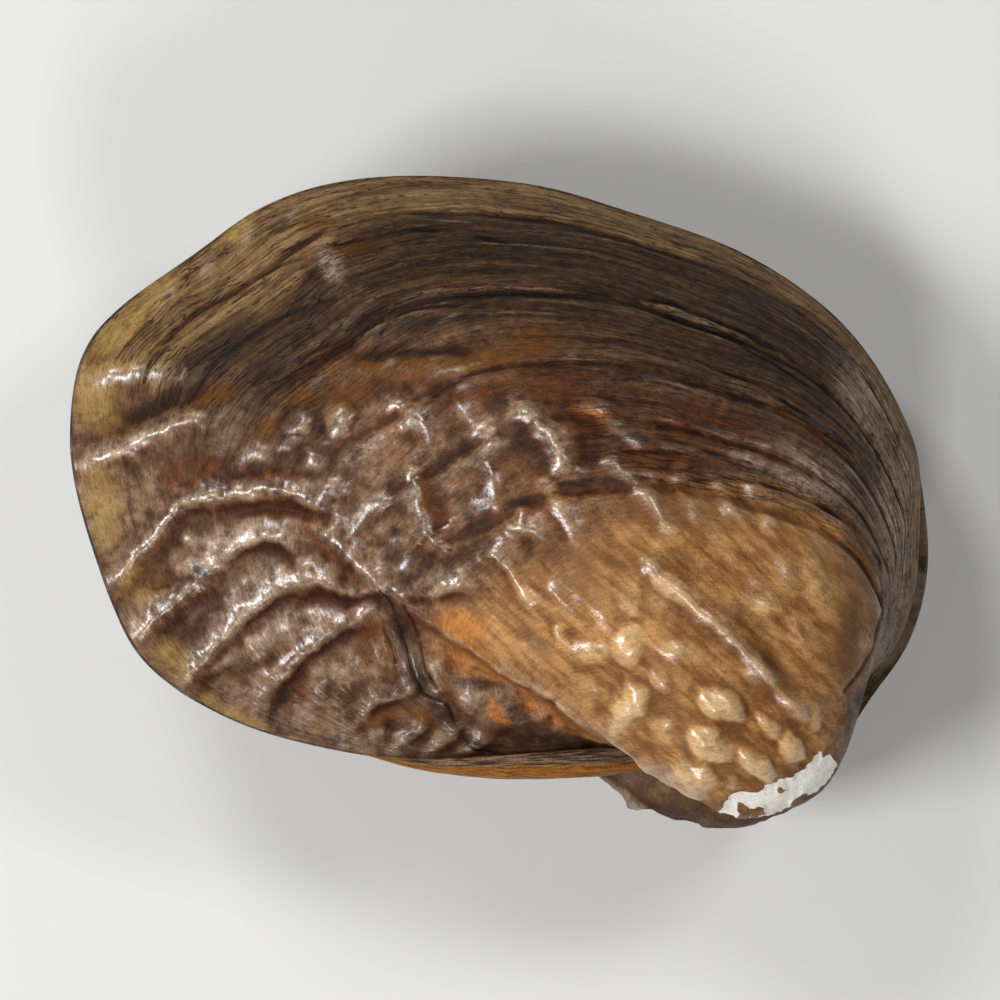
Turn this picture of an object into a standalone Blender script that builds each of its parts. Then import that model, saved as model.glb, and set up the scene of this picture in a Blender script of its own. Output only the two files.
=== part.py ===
"""Closed shell of a freshwater pearl mussel: left valve, right valve and the ligament between them.

Both valves grew from the same spiral, so one growth surface makes them: every growth line is a
smaller copy of the free edge, drawn in towards the beak and swung up round the hinge line.
The shell lies on its right valve, as it comes to rest on a table.
"""
import math

import bmesh
import bpy
import numpy as np
from mathutils import Euler

MM = 0.001

# The shell's own frame: the valves meet in a level plane, +X is the front, +Y the free edge and
# +Z the outside of the left valve. Lengths are in millimetres until a mesh is made.

# Tilt of that plane while the shell rests on its right valve: the free edge and the front hang low
REST_ROLL = math.radians(5.5)
REST_PITCH = math.radians(9.0)

# Hinge line, front end and back end, as seen from above the resting shell
HINGE_FRONT = (30.6, -21.3)
HINGE_BACK = (-6.5, -23.5)

# Free edge from the front hinge end round to the back one, as seen from above the resting shell
FREE_EDGE = [
    (33.2, -17.8), (36.5, -13.2), (38.2, -8.0), (38.4, -2.3), (37.0, 5.2), (33.2, 12.6), (28.2, 18.0),
    (20.8, 22.6), (11.4, 25.9), (2.8, 28.3), (-7.4, 29.1), (-15.4, 28.4), (-21.9, 26.1), (-27.7, 22.0),
    (-34.4, 17.1), (-37.4, 13.2), (-38.5, 8.0), (-38.2, 1.8), (-36.0, -5.9), (-33.0, -12.9),
    (-28.8, -17.0), (-22.2, -20.4), (-14.1, -22.5),
]

# Growth: the beak's place behind the front hinge end, and how the shell turns as it grows
BEAK_FROM_FRONT = 4.8
TURN_RATE = 1.08
TURN_GAIN_FRONT = 0.22
TURN_GAIN_BACK = 0.07
TURN_GAIN_EASE = (0.50, 0.80)
TURN_LIMIT = math.radians(162.0)
TURN_LIMIT_SHARPNESS = 6.0
INFLATION = 0.92
YOUNGEST = 0.03
# Points to each stretch of a smooth line
PATH_STEPS = 24

# Where growth paused: part of the final size, depth of the groove
GROWTH_STOPS = [(0.555, 0.45), (0.63, 0.20), (0.70, 0.20), (0.80, 0.35), (0.93, 0.20)]
GROOVE_WIDTH = 0.008
# Parts of the way round the edge over which the grooves come up, from the front and the back end
GROOVE_FADE_FRONT = (0.05, 0.18)
GROOVE_FADE_BACK = (0.0, 0.08)

# Ridges, ribs and knobs of the outside: height, half width and the line of each crest,
# as seen from above the resting shell. A negative height is a hollow.
SCULPTURE = [
    # the back ridge from the beak to the middle, and the hollow slope behind it
    (1.10, 1.1, [(16.6, -25.2), (12.0, -22.9), (9.8, -21.0), (7.2, -19.6), (3.6, -16.8), (-2.5, -12.8),
                 (-8.0, -9.0), (-12.5, -5.6), (-16.3, -2.0)]),
    (-0.80, 1.5, [(8.0, -21.8), (2.0, -18.6), (-3.0, -15.8), (-8.5, -12.0)]),
    # folds that fan out to the back edge
    (1.10, 1.0, [(-16.3, -0.4), (-19.0, 1.0), (-21.0, 1.3), (-24.2, 0.2), (-28.3, 0.1), (-30.5, -2.8),
                 (-35.6, -8.0)]),
    (0.90, 0.9, [(-25.5, -6.0), (-28.8, -8.7), (-31.0, -10.2), (-33.2, -12.8)]),
    (0.85, 0.8, [(-24.2, -4.7), (-22.2, -3.7), (-21.0, -3.2), (-19.6, -3.5), (-17.6, -5.6)]),
    (1.00, 0.9, [(-28.9, -16.8), (-25.3, -12.4), (-22.4, -9.6), (-19.3, -7.7), (-16.2, -6.9), (-14.2, -7.9),
                 (-10.0, -7.2), (-7.4, -7.9), (-3.8, -7.3)]),
    (0.85, 0.8, [(-19.6, -15.6), (-17.6, -13.5), (-15.0, -11.6), (-12.9, -10.4)]),
    (0.60, 0.8, [(-13.4, -19.9), (-11.4, -17.8), (-8.2, -16.3)]),
    (0.50, 0.6, [(-26.6, -15.0), (-24.6, -14.2)]),
    (0.45, 0.6, [(-23.4, -11.4), (-22.4, -12.6), (-21.6, -13.8)]),
    (0.40, 0.6, [(-27.8, -3.6), (-25.2, -4.0)]),
    (0.80, 1.3, [(-38.2, 10.3), (-33.5, 11.2), (-28.8, 11.4)]),
    (0.90, 1.0, [(-38.0, 3.2), (-33.6, 4.5), (-31.4, 5.8), (-27.0, 7.2)]),
    (0.60, 1.1, [(-31.6, 19.8), (-29.6, 16.8)]),
    (0.50, 1.1, [(-27.0, 22.4), (-25.6, 19.6)]),
    (0.45, 1.1, [(-23.4, 25.4), (-22.6, 22.4)]),
    # rough knobs below the folds, along the hinge line
    (0.60, 0.7, [(-12.6, -20.2), (-11.3, -19.4)]),
    (0.70, 0.6, [(-9.4, -18.2), (-8.9, -18.8)]),
    (0.60, 0.6, [(-6.9, -17.3), (-5.9, -18.4)]),
    (0.65, 0.7, [(-8.9, -21.0), (-7.6, -20.2)]),
    (0.60, 0.7, [(-5.9, -21.4), (-4.6, -20.9)]),
    (0.60, 0.7, [(-3.4, -22.2), (-1.8, -21.2)]),
    (0.45, 0.7, [(2.4, -21.8), (5.0, -22.3)]),
    (0.50, 0.8, [(-3.6, -18.0), (-0.6, -19.8), (3.0, -19.4)]),
    # knobs and short ribs of the middle
    (0.45, 0.7, [(-16.9, -3.6), (-16.4, -4.4)]),
    (0.50, 0.7, [(-17.8, -6.0), (-17.4, -6.9)]),
    (0.50, 0.7, [(-16.0, 0.2), (-15.0, 1.1), (-13.6, 0.7)]),
    (0.45, 0.8, [(-13.4, -2.8), (-11.2, -0.6), (-10.0, 0.0)]),
    (0.40, 0.8, [(-3.6, 7.8), (-2.4, 6.6), (-1.2, 5.4)]),
    (0.60, 0.9, [(-23.2, 3.3), (-21.2, 4.4)]),
    (0.75, 0.9, [(-18.1, 7.6), (-17.6, 6.8)]),
    (0.75, 0.9, [(-17.2, 3.6), (-16.2, 2.2)]),
    (0.80, 0.9, [(-14.0, 8.6), (-14.6, 6.2)]),
    (0.50, 1.0, [(-15.9, 21.9), (-15.0, 20.2)]),
    (0.50, 1.6, [(-13.0, 11.6), (-8.0, 12.2), (-3.5, 11.6)]),
    (0.60, 1.0, [(-9.8, 8.4), (-7.4, 7.6), (-6.6, 6.6)]),
    (0.80, 0.8, [(-7.8, 2.6), (-7.4, -0.5), (-6.5, -3.0), (-5.4, -4.1)]),
    (0.50, 0.8, [(-1.3, 5.8), (-1.4, 3.4), (-0.6, 0.8)]),
    (0.60, 0.8, [(-0.4, -0.8), (0.6, -2.3), (2.8, -2.9)]),
    (0.60, 0.8, [(4.0, 0.4), (5.0, -1.0), (5.9, -2.6)]),
    (1.00, 1.0, [(1.8, 7.4), (3.0, 6.6), (4.1, 5.4), (5.2, 3.4)]),
    (0.80, 0.9, [(9.4, 3.1), (11.4, 1.3), (12.8, 0.0), (14.4, -2.6)]),
    (0.60, 0.7, [(18.8, 1.0), (19.7, -0.9), (20.5, -1.4)]),
    (0.50, 0.8, [(21.6, 0.8), (22.0, 0.2)]),
    (0.40, 0.8, [(23.4, 0.3), (23.6, -1.6)]),
    (0.40, 0.8, [(15.2, 1.4), (16.4, -1.4)]),
    (0.50, 0.8, [(7.2, 8.0), (9.0, 6.8), (11.2, 5.2)]),
    (0.45, 0.8, [(24.9, -5.4), (25.5, -7.8)]),
    (0.35, 0.8, [(27.0, -4.8), (27.6, -7.4)]),
    (0.75, 0.8, [(-0.8, -4.8), (0.6, -6.0), (2.2, -8.8)]),
    (0.60, 0.7, [(-5.4, -12.0), (-3.6, -13.1)]),
    # the long thin ridge on the old part, and the hollow along it
    (1.10, 0.9, [(13.0, -6.2), (14.4, -7.6), (17.2, -9.9), (18.8, -11.0), (21.6, -13.9), (24.0, -16.5),
                 (25.8, -18.6)]),
    (-0.50, 0.9, [(20.8, -11.2), (24.4, -15.8)]),
    (0.50, 0.7, [(11.6, -6.8), (11.4, -9.4)]),
    (0.60, 0.8, [(9.2, -10.0), (9.5, -11.0)]),
    (0.50, 0.7, [(13.0, -12.2), (15.4, -13.8)]),
    (0.50, 0.9, [(6.2, -13.8), (8.8, -13.0)]),
    (0.45, 0.7, [(4.3, -7.6), (5.7, -9.4)]),
    (0.40, 0.6, [(13.3, -8.6), (14.6, -9.6)]),
    (0.65, 0.9, [(22.4, -9.0), (23.2, -9.5)]),
    (0.55, 0.8, [(25.8, -11.2), (26.2, -12.0)]),
    # ribs and knobs round the beak
    (1.00, 1.1, [(10.0, -15.2), (10.2, -17.0), (11.4, -19.2)]),
    (0.60, 0.8, [(12.4, -16.8), (13.2, -18.8)]),
    (1.00, 1.1, [(17.6, -16.6), (19.6, -17.4), (20.9, -19.2)]),
    (1.00, 1.1, [(15.8, -20.4), (18.0, -21.6), (19.6, -23.0)]),
    (0.80, 0.8, [(16.6, -23.9), (18.0, -24.5)]),
    (0.80, 0.8, [(20.4, -21.9), (21.8, -23.0), (23.2, -24.2)]),
    (0.90, 0.9, [(23.0, -20.2), (24.4, -21.0), (25.2, -23.2)]),
]

# A ridge stands on a broader swelling: the swelling's share of the height and of the width
SWELLING_SHARE = 0.45
SWELLING_WIDTH = 1.9
# Sharpness of the fillet where ridges run into each other
RIDGE_BLEND = 3.0
# Ridges fade where the surface turns away from above, near the hinge ends and towards the beak
FACING_FADE = (0.05, 0.35)
HINGE_FADE = (0.0, 0.04)
BEAK_FADE = (0.08, 0.20)

# The right valve has the same kind of ridges, a little out of step with the left one
RIGHT_DRIFT = 1.6
RIGHT_DRIFT_LENGTH = 17.0

# The shell lies on three low swellings of the right valve, given as seen from above. The ridges
# are worn to a level this far below the plain surface, the swellings to one a little lower.
RESTING_PLACES = [(3.8, -0.6), (6.8, -14.0), (20.5, -6.6)]
WORN_LEVEL = 0.5
RESTING_CLEARANCE = 0.12
RESTING_RISE = 0.45
RESTING_WIDTH = 4.0
# How far down the surface has to look for a swelling to show there in part and in full
RESTING_FADE = (0.2, 0.7)

# Room that the ridges at the edge take up outside the growth surface
EDGE_INSET = 0.15
# How far the left valve's edge lies inside the right one's, at the front below the hinge
EDGE_SETBACK = 1.1
EDGE_SETBACK_REACH = 0.17
EDGE_TAPER = (0.0, 0.03)
# Thickness of a valve at its edge
EDGE_THICKNESS = 0.7

# Inside: the hollow is the outside drawn in towards this point, and the gap where the valves meet
HOLLOW_CENTRE = (-6.0, 9.0)
HOLLOW_WIDTH = 0.85
HOLLOW_DEPTH = 0.74
HOLLOW_TURN_LIMIT = math.radians(88.0)
VALVE_GAP = 0.3
TRIM_BLOCK = (120.0, 120.0, 20.0)

# Ligament: a horny spindle outside the hinge line, behind the beak
LIGAMENT_LENGTH = 22.0
LIGAMENT_HEIGHT = 2.6
LIGAMENT_WIDTH = 3.4
LIGAMENT_CLEARANCE = 0.35
LIGAMENT_BACK_OF_HINGE_END = 2.4
# Share of the height that lies outside its flat face, and how blunt the ends are
LIGAMENT_FLAT = 0.06
LIGAMENT_BLUNTNESS = 3.5

# Mesh fineness: the surface is shaped on the fine grid and then thinned out
GRID_COLUMNS = 220
GRID_ROWS = 110
KEPT_FACES = 0.083
HOLLOW_COLUMNS = 30
HOLLOW_ROWS = 10
SKIRT_DEPTH = 2.0


def clear_scene():
    """Remove whatever the file holds."""
    for obj in list(bpy.data.objects):
        bpy.data.objects.remove(obj, do_unlink=True)


def smoothstep(low, high, value):
    """Ease from 0 to 1 between low and high."""
    t = np.clip((value - low) / (high - low), 0.0, 1.0)
    return t * t * (3.0 - 2.0 * t)


def to_rest(points):
    """Turn points of the shell's own frame into the resting pose."""
    roll_c, roll_s = math.cos(REST_ROLL), math.sin(REST_ROLL)
    pitch_c, pitch_s = math.cos(REST_PITCH), math.sin(REST_PITCH)
    x, y, z = points[..., 0], points[..., 1], points[..., 2]
    rolled_y = y * roll_c + z * roll_s
    rolled_z = -y * roll_s + z * roll_c
    return np.stack([x * pitch_c + rolled_z * pitch_s, rolled_y, -x * pitch_s + rolled_z * pitch_c], axis=-1)


def lay_back(points):
    """Take points of the edge, seen from above the resting shell, back into the plane of the edge."""
    seen = np.asarray(points, dtype=float)
    y = seen[..., 1] / math.cos(REST_ROLL)
    x = (seen[..., 0] + y * math.sin(REST_ROLL) * math.sin(REST_PITCH)) / math.cos(REST_PITCH)
    return np.stack([x, y], axis=-1)


def smooth_path(points, count):
    """Even points along a smooth curve through the given ones."""
    pts = np.asarray(points, dtype=float)
    padded = np.vstack([2 * pts[0] - pts[1], pts, 2 * pts[-1] - pts[-2]])
    step = np.linspace(0.0, 1.0, PATH_STEPS, endpoint=False)[:, None]
    pieces = []
    for i in range(len(pts) - 1):
        a, b, c, d = padded[i:i + 4]
        pieces.append(0.5 * (2 * b + (c - a) * step + (2 * a - 5 * b + 4 * c - d) * step ** 2
                             + (3 * b - a - 3 * c + d) * step ** 3))
    dense = np.vstack(pieces + [pts[-1:]])
    length = np.concatenate([[0.0], np.cumsum(np.linalg.norm(np.diff(dense, axis=0), axis=1))])
    wanted = np.linspace(0.0, length[-1], count)
    return np.column_stack([np.interp(wanted, length, dense[:, k]) for k in range(2)])


def free_edge(columns, setback):
    """The valve's edge in its own plane, from the front hinge end to the back one."""
    edge = smooth_path(lay_back([HINGE_FRONT] + FREE_EDGE + [HINGE_BACK]), columns)
    around = np.linspace(0.0, 1.0, columns)
    along = np.gradient(edge, axis=0)
    along /= np.linalg.norm(along, axis=1)[:, None]
    inward = np.column_stack([-along[:, 1], along[:, 0]])
    near_front = 1.0 - smoothstep(0.6, 1.0, around / EDGE_SETBACK_REACH)
    off_hinge = smoothstep(*EDGE_TAPER, np.minimum(around, 1.0 - around))
    amount = (EDGE_INSET + setback * near_front) * off_hinge
    return edge + inward * amount[:, None], around


def growth_surface(columns, rows, setback=0.0, turn_limit=TURN_LIMIT):
    """Outside of a valve as a grid: columns round the edge, rows from the beak to the edge."""
    edge, around = free_edge(columns, setback)
    front, back = lay_back(HINGE_FRONT), lay_back(HINGE_BACK)
    hinge = (back - front) / np.linalg.norm(back - front)
    across = np.array([hinge[1], -hinge[0]])
    beak = front + BEAK_FROM_FRONT * hinge
    along = ((edge - beak) @ hinge)[:, None]
    away = ((edge - beak) @ across)[:, None]
    size = np.linspace(YOUNGEST, 1.0, rows)[None, :]
    age = np.log(1.0 / size)
    ease = smoothstep(*TURN_GAIN_EASE, around)[:, None]
    gain = TURN_GAIN_FRONT + (TURN_GAIN_BACK - TURN_GAIN_FRONT) * ease
    free_turn = TURN_RATE * age + gain * age ** 2
    sharpness = TURN_LIMIT_SHARPNESS
    turn = turn_limit * (1.0 - np.exp(-(free_turn / turn_limit) ** sharpness)) ** (1.0 / sharpness)
    plan = beak + (along * size)[..., None] * hinge + (away * size * np.cos(turn))[..., None] * across
    rise = away * size * np.sin(turn) * INFLATION
    return np.dstack([plan, rise]), around, size.ravel()


def outward_normals(grid):
    """Normals of the grid that point away from the shell."""
    round_edge = np.gradient(grid, axis=0)
    towards_edge = np.gradient(grid, axis=1)
    normal = np.cross(round_edge, towards_edge)
    normal /= np.maximum(np.linalg.norm(normal, axis=-1, keepdims=True), 1e-9)
    middle = normal[grid.shape[0] // 2, grid.shape[1] // 2]
    return normal if middle[2] > 0 else -normal


def distance_to_line(x, y, line):
    """Distance in plan from each point to a line through the given points."""
    best = np.full(x.shape, np.inf)
    for (ax, ay), (bx, by) in zip(line[:-1], line[1:]):
        dx, dy = bx - ax, by - ay
        t = np.clip(((x - ax) * dx + (y - ay) * dy) / (dx * dx + dy * dy), 0.0, 1.0)
        best = np.minimum(best, np.hypot(x - ax - t * dx, y - ay - t * dy))
    return best


def relief(grid, around, size, side):
    """Height of the sculpture over the growth surface."""
    seen = to_rest(grid)
    facing = to_rest(outward_normals(grid))[..., 2]
    x, y = seen[..., 0], seen[..., 1]
    if side < 0:
        x, y = (x + RIGHT_DRIFT * np.sin(y / RIGHT_DRIFT_LENGTH * math.pi),
                y + RIGHT_DRIFT * np.sin(x / RIGHT_DRIFT_LENGTH * math.pi))
    ridges = np.zeros(x.shape)
    hollows = np.zeros(x.shape)
    for rise, half_width, line in SCULPTURE:
        apart = distance_to_line(x, y, line) / half_width
        bump = (1.0 - SWELLING_SHARE) * np.exp(-apart ** 2)
        bump += SWELLING_SHARE * np.exp(-(apart / SWELLING_WIDTH) ** 2)
        if rise > 0:
            ridges += (rise * bump) ** RIDGE_BLEND
        else:
            hollows += rise * bump
    height = (ridges ** (1.0 / RIDGE_BLEND) + hollows) * smoothstep(*FACING_FADE, facing)
    groove_fade = smoothstep(*GROOVE_FADE_FRONT, around) * smoothstep(*GROOVE_FADE_BACK, 1.0 - around)
    for stop, depth in GROWTH_STOPS:
        height -= groove_fade[:, None] * depth * np.exp(-((size[None, :] - stop) / GROOVE_WIDTH) ** 2)
    hinge_fade = smoothstep(*HINGE_FADE, np.minimum(around, 1.0 - around))[:, None]
    beak_fade = smoothstep(*BEAK_FADE, size)[None, :]
    return height * hinge_fade * beak_fade


def wear_and_rest(plain, normal, height):
    """Relief of the right valve, worn to one level and swollen at the places it rests on."""
    rested = to_rest(plain * [1, 1, -1])
    down = -to_rest(normal * [1, 1, -1])[..., 2]
    level = rested[..., 2].min() - WORN_LEVEL
    room = (rested[..., 2] - level) / np.maximum(down, RESTING_FADE[0])
    worn = np.minimum(height, room)
    lift = np.zeros(down.shape)
    for x, y in RESTING_PLACES:
        apart = np.hypot(rested[..., 0] - x, rested[..., 1] - y)
        underneath = np.where(down > RESTING_FADE[1], apart, np.inf)
        nearest = np.unravel_index(underneath.argmin(), apart.shape)
        rise = room[nearest] + RESTING_RISE - worn[nearest]
        lift = np.maximum(lift, rise * np.exp(-(apart / RESTING_WIDTH) ** 2))
    return np.minimum(worn + lift * smoothstep(*RESTING_FADE, down), room + RESTING_CLEARANCE)


def valve_grid(side):
    """Sculptured outside of one valve: side is 1 for the left valve and -1 for the right one."""
    setback = EDGE_SETBACK if side > 0 else 0.0
    plain, around, size = growth_surface(GRID_COLUMNS, GRID_ROWS, setback)
    normal = outward_normals(plain)
    height = relief(plain, around, size, side)
    if side < 0:
        height = wear_and_rest(plain, normal, height)
    return (plain + normal * height[..., None] + [0.0, 0.0, EDGE_THICKNESS]) * [1, 1, side]


def closed_body(name, grid, floor):
    """Closed mesh of a grid whose first and last columns lie on the hinge line, with a flat floor."""
    columns, rows = grid.shape[:2]
    bm = bmesh.new()
    verts = [[bm.verts.new(grid[i, j] * MM) for j in range(rows)] for i in range(columns)]
    skirt = [bm.verts.new((grid[i, -1, 0] * MM, grid[i, -1, 1] * MM, floor * MM)) for i in range(columns)]
    for i in range(columns - 1):
        for j in range(rows - 1):
            bm.faces.new((verts[i][j], verts[i + 1][j], verts[i + 1][j + 1], verts[i][j + 1]))
        bm.faces.new((verts[i][-1], verts[i + 1][-1], skirt[i + 1], skirt[i]))
    bm.faces.new(skirt)
    bm.faces.new([verts[i][0] for i in range(columns)])
    bm.faces.new([skirt[0], skirt[-1]] + verts[-1][::-1] + verts[0])
    bmesh.ops.recalc_face_normals(bm, faces=bm.faces)
    mesh = bpy.data.meshes.new(name)
    bm.to_mesh(mesh)
    bm.free()
    mesh.shade_smooth()
    return bpy.data.objects.new(name, mesh)


def block_below(name, side):
    """Block that trims a valve flat where it meets the other one."""
    bm = bmesh.new()
    bmesh.ops.create_cube(bm, size=1.0)
    bmesh.ops.scale(bm, verts=bm.verts, vec=[length * MM for length in TRIM_BLOCK])
    middle = side * (VALVE_GAP - TRIM_BLOCK[2]) / 2
    bmesh.ops.translate(bm, verts=bm.verts, vec=(0.0, 0.0, middle * MM))
    mesh = bpy.data.meshes.new(name)
    bm.to_mesh(mesh)
    bm.free()
    return bpy.data.objects.new(name, mesh)


def hollow(name, side):
    """The room inside a valve: the plain outside, drawn in and made shallower."""
    grid, _, _ = growth_surface(HOLLOW_COLUMNS, HOLLOW_ROWS, turn_limit=HOLLOW_TURN_LIMIT)
    centre = np.array([HOLLOW_CENTRE[0], HOLLOW_CENTRE[1], 0.0])
    grid = centre + (grid - centre) * [HOLLOW_WIDTH, HOLLOW_WIDTH, HOLLOW_DEPTH]
    return closed_body(name, grid * [1, 1, side], -side * SKIRT_DEPTH)


def ligament(name):
    """A blunt spindle along the hinge line, with its flat face to the valves."""
    front, back = lay_back(HINGE_FRONT), lay_back(HINGE_BACK)
    hinge = (back - front) / np.linalg.norm(back - front)
    outside = np.array([-hinge[1], hinge[0]])
    middle = back + hinge * (LIGAMENT_BACK_OF_HINGE_END - LIGAMENT_LENGTH / 2)
    middle = middle + outside * (LIGAMENT_CLEARANCE - LIGAMENT_FLAT * LIGAMENT_HEIGHT)
    bm = bmesh.new()
    bmesh.ops.create_uvsphere(bm, u_segments=16, v_segments=16, radius=0.5)
    quarter_turn = Euler((0.0, math.radians(90.0), 0.0)).to_matrix()
    bmesh.ops.rotate(bm, verts=bm.verts, cent=(0, 0, 0), matrix=quarter_turn)
    for vert in bm.verts:
        along = min(abs(vert.co.x) * 2.0, 1.0)
        if along < 0.999:
            blunt = math.sqrt((1.0 - along ** LIGAMENT_BLUNTNESS) / (1.0 - along ** 2))
            vert.co.y *= blunt
            vert.co.z *= blunt
    everything = bm.verts[:] + bm.edges[:] + bm.faces[:]
    cut_open = bmesh.ops.bisect_plane(bm, geom=everything, plane_co=(0.0, LIGAMENT_FLAT, 0.0),
                                      plane_no=(0.0, 1.0, 0.0), clear_inner=True)
    rim = [item for item in cut_open["geom_cut"] if isinstance(item, bmesh.types.BMEdge)]
    bmesh.ops.edgeloop_fill(bm, edges=rim)
    bmesh.ops.recalc_face_normals(bm, faces=bm.faces)
    bmesh.ops.scale(bm, verts=bm.verts, vec=(LIGAMENT_LENGTH * MM, LIGAMENT_HEIGHT * MM, LIGAMENT_WIDTH * MM))
    mesh = bpy.data.meshes.new(name)
    bm.to_mesh(mesh)
    bm.free()
    mesh.shade_smooth()
    obj = bpy.data.objects.new(name, mesh)
    obj.location = (middle[0] * MM, middle[1] * MM, 0.0)
    obj.rotation_euler = (0.0, 0.0, math.atan2(hinge[1], hinge[0]))
    return obj


def material(name, colour, roughness):
    """Plain surface with the piece's own colour."""
    mat = bpy.data.materials.new(name)
    mat.use_nodes = True
    shader = mat.node_tree.nodes["Principled BSDF"]
    shader.inputs["Base Color"].default_value = (*colour, 1.0)
    shader.inputs["Roughness"].default_value = roughness
    shader.inputs["Metallic"].default_value = 0.0
    return mat


def cut(obj, cutter):
    """Take a cutter out of an object."""
    modifier = obj.modifiers.new(cutter.name, "BOOLEAN")
    modifier.operation = "DIFFERENCE"
    modifier.solver = "EXACT"
    modifier.object = cutter


def build_valve(name, side, parts, cutters, mat):
    """One valve: shaped outside, thinned out, trimmed flat and hollowed."""
    valve = closed_body(name, valve_grid(side), -side * SKIRT_DEPTH)
    valve.data.materials.append(mat)
    parts.objects.link(valve)
    thin = valve.modifiers.new("thin_out", "DECIMATE")
    thin.ratio = KEPT_FACES
    for cutter in (block_below(name + "_trim", side), hollow(name + "_hollow", side)):
        cutters.objects.link(cutter)
        cutter.hide_render = True
        cutter.display_type = "WIRE"
        cut(valve, cutter)
    return valve


def settle(stand, parts):
    """Tilt the shell as it rests, over the middle of its footprint and touching the ground."""
    stand.rotation_euler = Euler((-REST_ROLL, REST_PITCH, 0.0), "XYZ")
    bpy.context.view_layer.update()
    depsgraph = bpy.context.evaluated_depsgraph_get()
    corners = []
    for obj in parts.objects:
        evaluated = obj.evaluated_get(depsgraph)
        mesh = evaluated.to_mesh()
        corners.extend(evaluated.matrix_world @ v.co for v in mesh.vertices)
        evaluated.to_mesh_clear()
    cloud = np.array(corners)
    low, high = cloud.min(axis=0), cloud.max(axis=0)
    stand.location = (-(low[0] + high[0]) / 2, -(low[1] + high[1]) / 2, -low[2])
    bpy.context.view_layer.update()


def build():
    """Make the shell's pieces and lay them down together."""
    clear_scene()
    scene = bpy.context.scene
    parts = bpy.data.collections.new("mussel_shell")
    cutters = bpy.data.collections.new("cutters")
    scene.collection.children.link(parts)
    scene.collection.children.link(cutters)
    stand = bpy.data.objects.new("shell_pose", None)
    scene.collection.objects.link(stand)

    horn_brown = material("horn_brown_left", (0.23, 0.12, 0.05), 0.35)
    dark_brown = material("horn_brown_right", (0.20, 0.11, 0.05), 0.40)
    amber = material("ligament_amber", (0.42, 0.18, 0.05), 0.45)

    build_valve("left_valve", 1, parts, cutters, horn_brown)
    build_valve("right_valve", -1, parts, cutters, dark_brown)
    band = ligament("ligament")
    band.data.materials.append(amber)
    parts.objects.link(band)

    for obj in list(parts.objects) + list(cutters.objects):
        obj.parent = stand
    settle(stand, parts)


build()
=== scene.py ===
"""Freshwater mussel shell: the looks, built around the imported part."""
import math

import bmesh
import bpy
import numpy as np
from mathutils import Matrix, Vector


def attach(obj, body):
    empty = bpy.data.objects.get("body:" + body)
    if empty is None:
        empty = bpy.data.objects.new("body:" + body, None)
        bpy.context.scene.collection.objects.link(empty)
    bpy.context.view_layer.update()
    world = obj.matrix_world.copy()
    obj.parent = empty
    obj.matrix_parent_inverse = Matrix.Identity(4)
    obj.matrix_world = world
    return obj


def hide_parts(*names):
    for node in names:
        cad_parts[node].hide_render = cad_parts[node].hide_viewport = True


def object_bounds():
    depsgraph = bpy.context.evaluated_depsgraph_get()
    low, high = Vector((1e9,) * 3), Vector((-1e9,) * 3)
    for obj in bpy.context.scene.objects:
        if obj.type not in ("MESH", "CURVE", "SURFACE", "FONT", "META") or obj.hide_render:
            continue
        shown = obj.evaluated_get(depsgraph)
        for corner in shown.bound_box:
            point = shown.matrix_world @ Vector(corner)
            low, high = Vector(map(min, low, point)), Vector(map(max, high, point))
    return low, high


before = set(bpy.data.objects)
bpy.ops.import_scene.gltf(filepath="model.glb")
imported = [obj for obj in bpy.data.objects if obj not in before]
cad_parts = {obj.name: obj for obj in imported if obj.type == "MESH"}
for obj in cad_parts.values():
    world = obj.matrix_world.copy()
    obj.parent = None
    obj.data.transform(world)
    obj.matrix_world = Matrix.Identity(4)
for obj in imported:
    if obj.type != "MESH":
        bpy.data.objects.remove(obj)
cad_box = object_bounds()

# Studio: a plain pale floor, four square softboxes round the shell, the strongest on the left,
# and a camera straight above. The picture is 90 mm wide where the valves meet.
MM = 0.001
PICTURE_MIDDLE = Vector((0.313, 0.257, 20.64)) * MM
CAMERA_OFFSET = -0.3
PICTURE_WIDTH = 0.0894
CAMERA_DISTANCE = 0.9
SENSOR = 36.0
LIGHT_DISTANCE = 0.6
FLOOR_HALF_WIDTH = 3.0

floor_mesh = bpy.data.meshes.new("floor")
floor_bm = bmesh.new()
bmesh.ops.create_grid(floor_bm, x_segments=1, y_segments=1, size=FLOOR_HALF_WIDTH)
floor_bm.to_mesh(floor_mesh)
floor_bm.free()
floor = bpy.data.objects.new("floor", floor_mesh)
bpy.context.scene.collection.objects.link(floor)
floor_paint = bpy.data.materials.new("floor_paint")
floor_paint.use_nodes = True
floor_shader = floor_paint.node_tree.nodes["Principled BSDF"]
floor_shader.inputs["Base Color"].default_value = (0.62, 0.62, 0.61, 1.0)
floor_shader.inputs["Roughness"].default_value = 0.9
floor_mesh.materials.append(floor_paint)

camera = bpy.data.objects.new("camera", bpy.data.cameras.new("camera"))
camera.data.type = "PERSP"
camera.data.sensor_width = SENSOR
camera.data.lens = SENSOR * CAMERA_DISTANCE / PICTURE_WIDTH
camera.data.clip_start = 0.01
camera.location = PICTURE_MIDDLE + Vector((CAMERA_OFFSET * MM, 0.0, CAMERA_DISTANCE))
bpy.context.scene.collection.objects.link(camera)
bpy.context.scene.camera = camera


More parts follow.
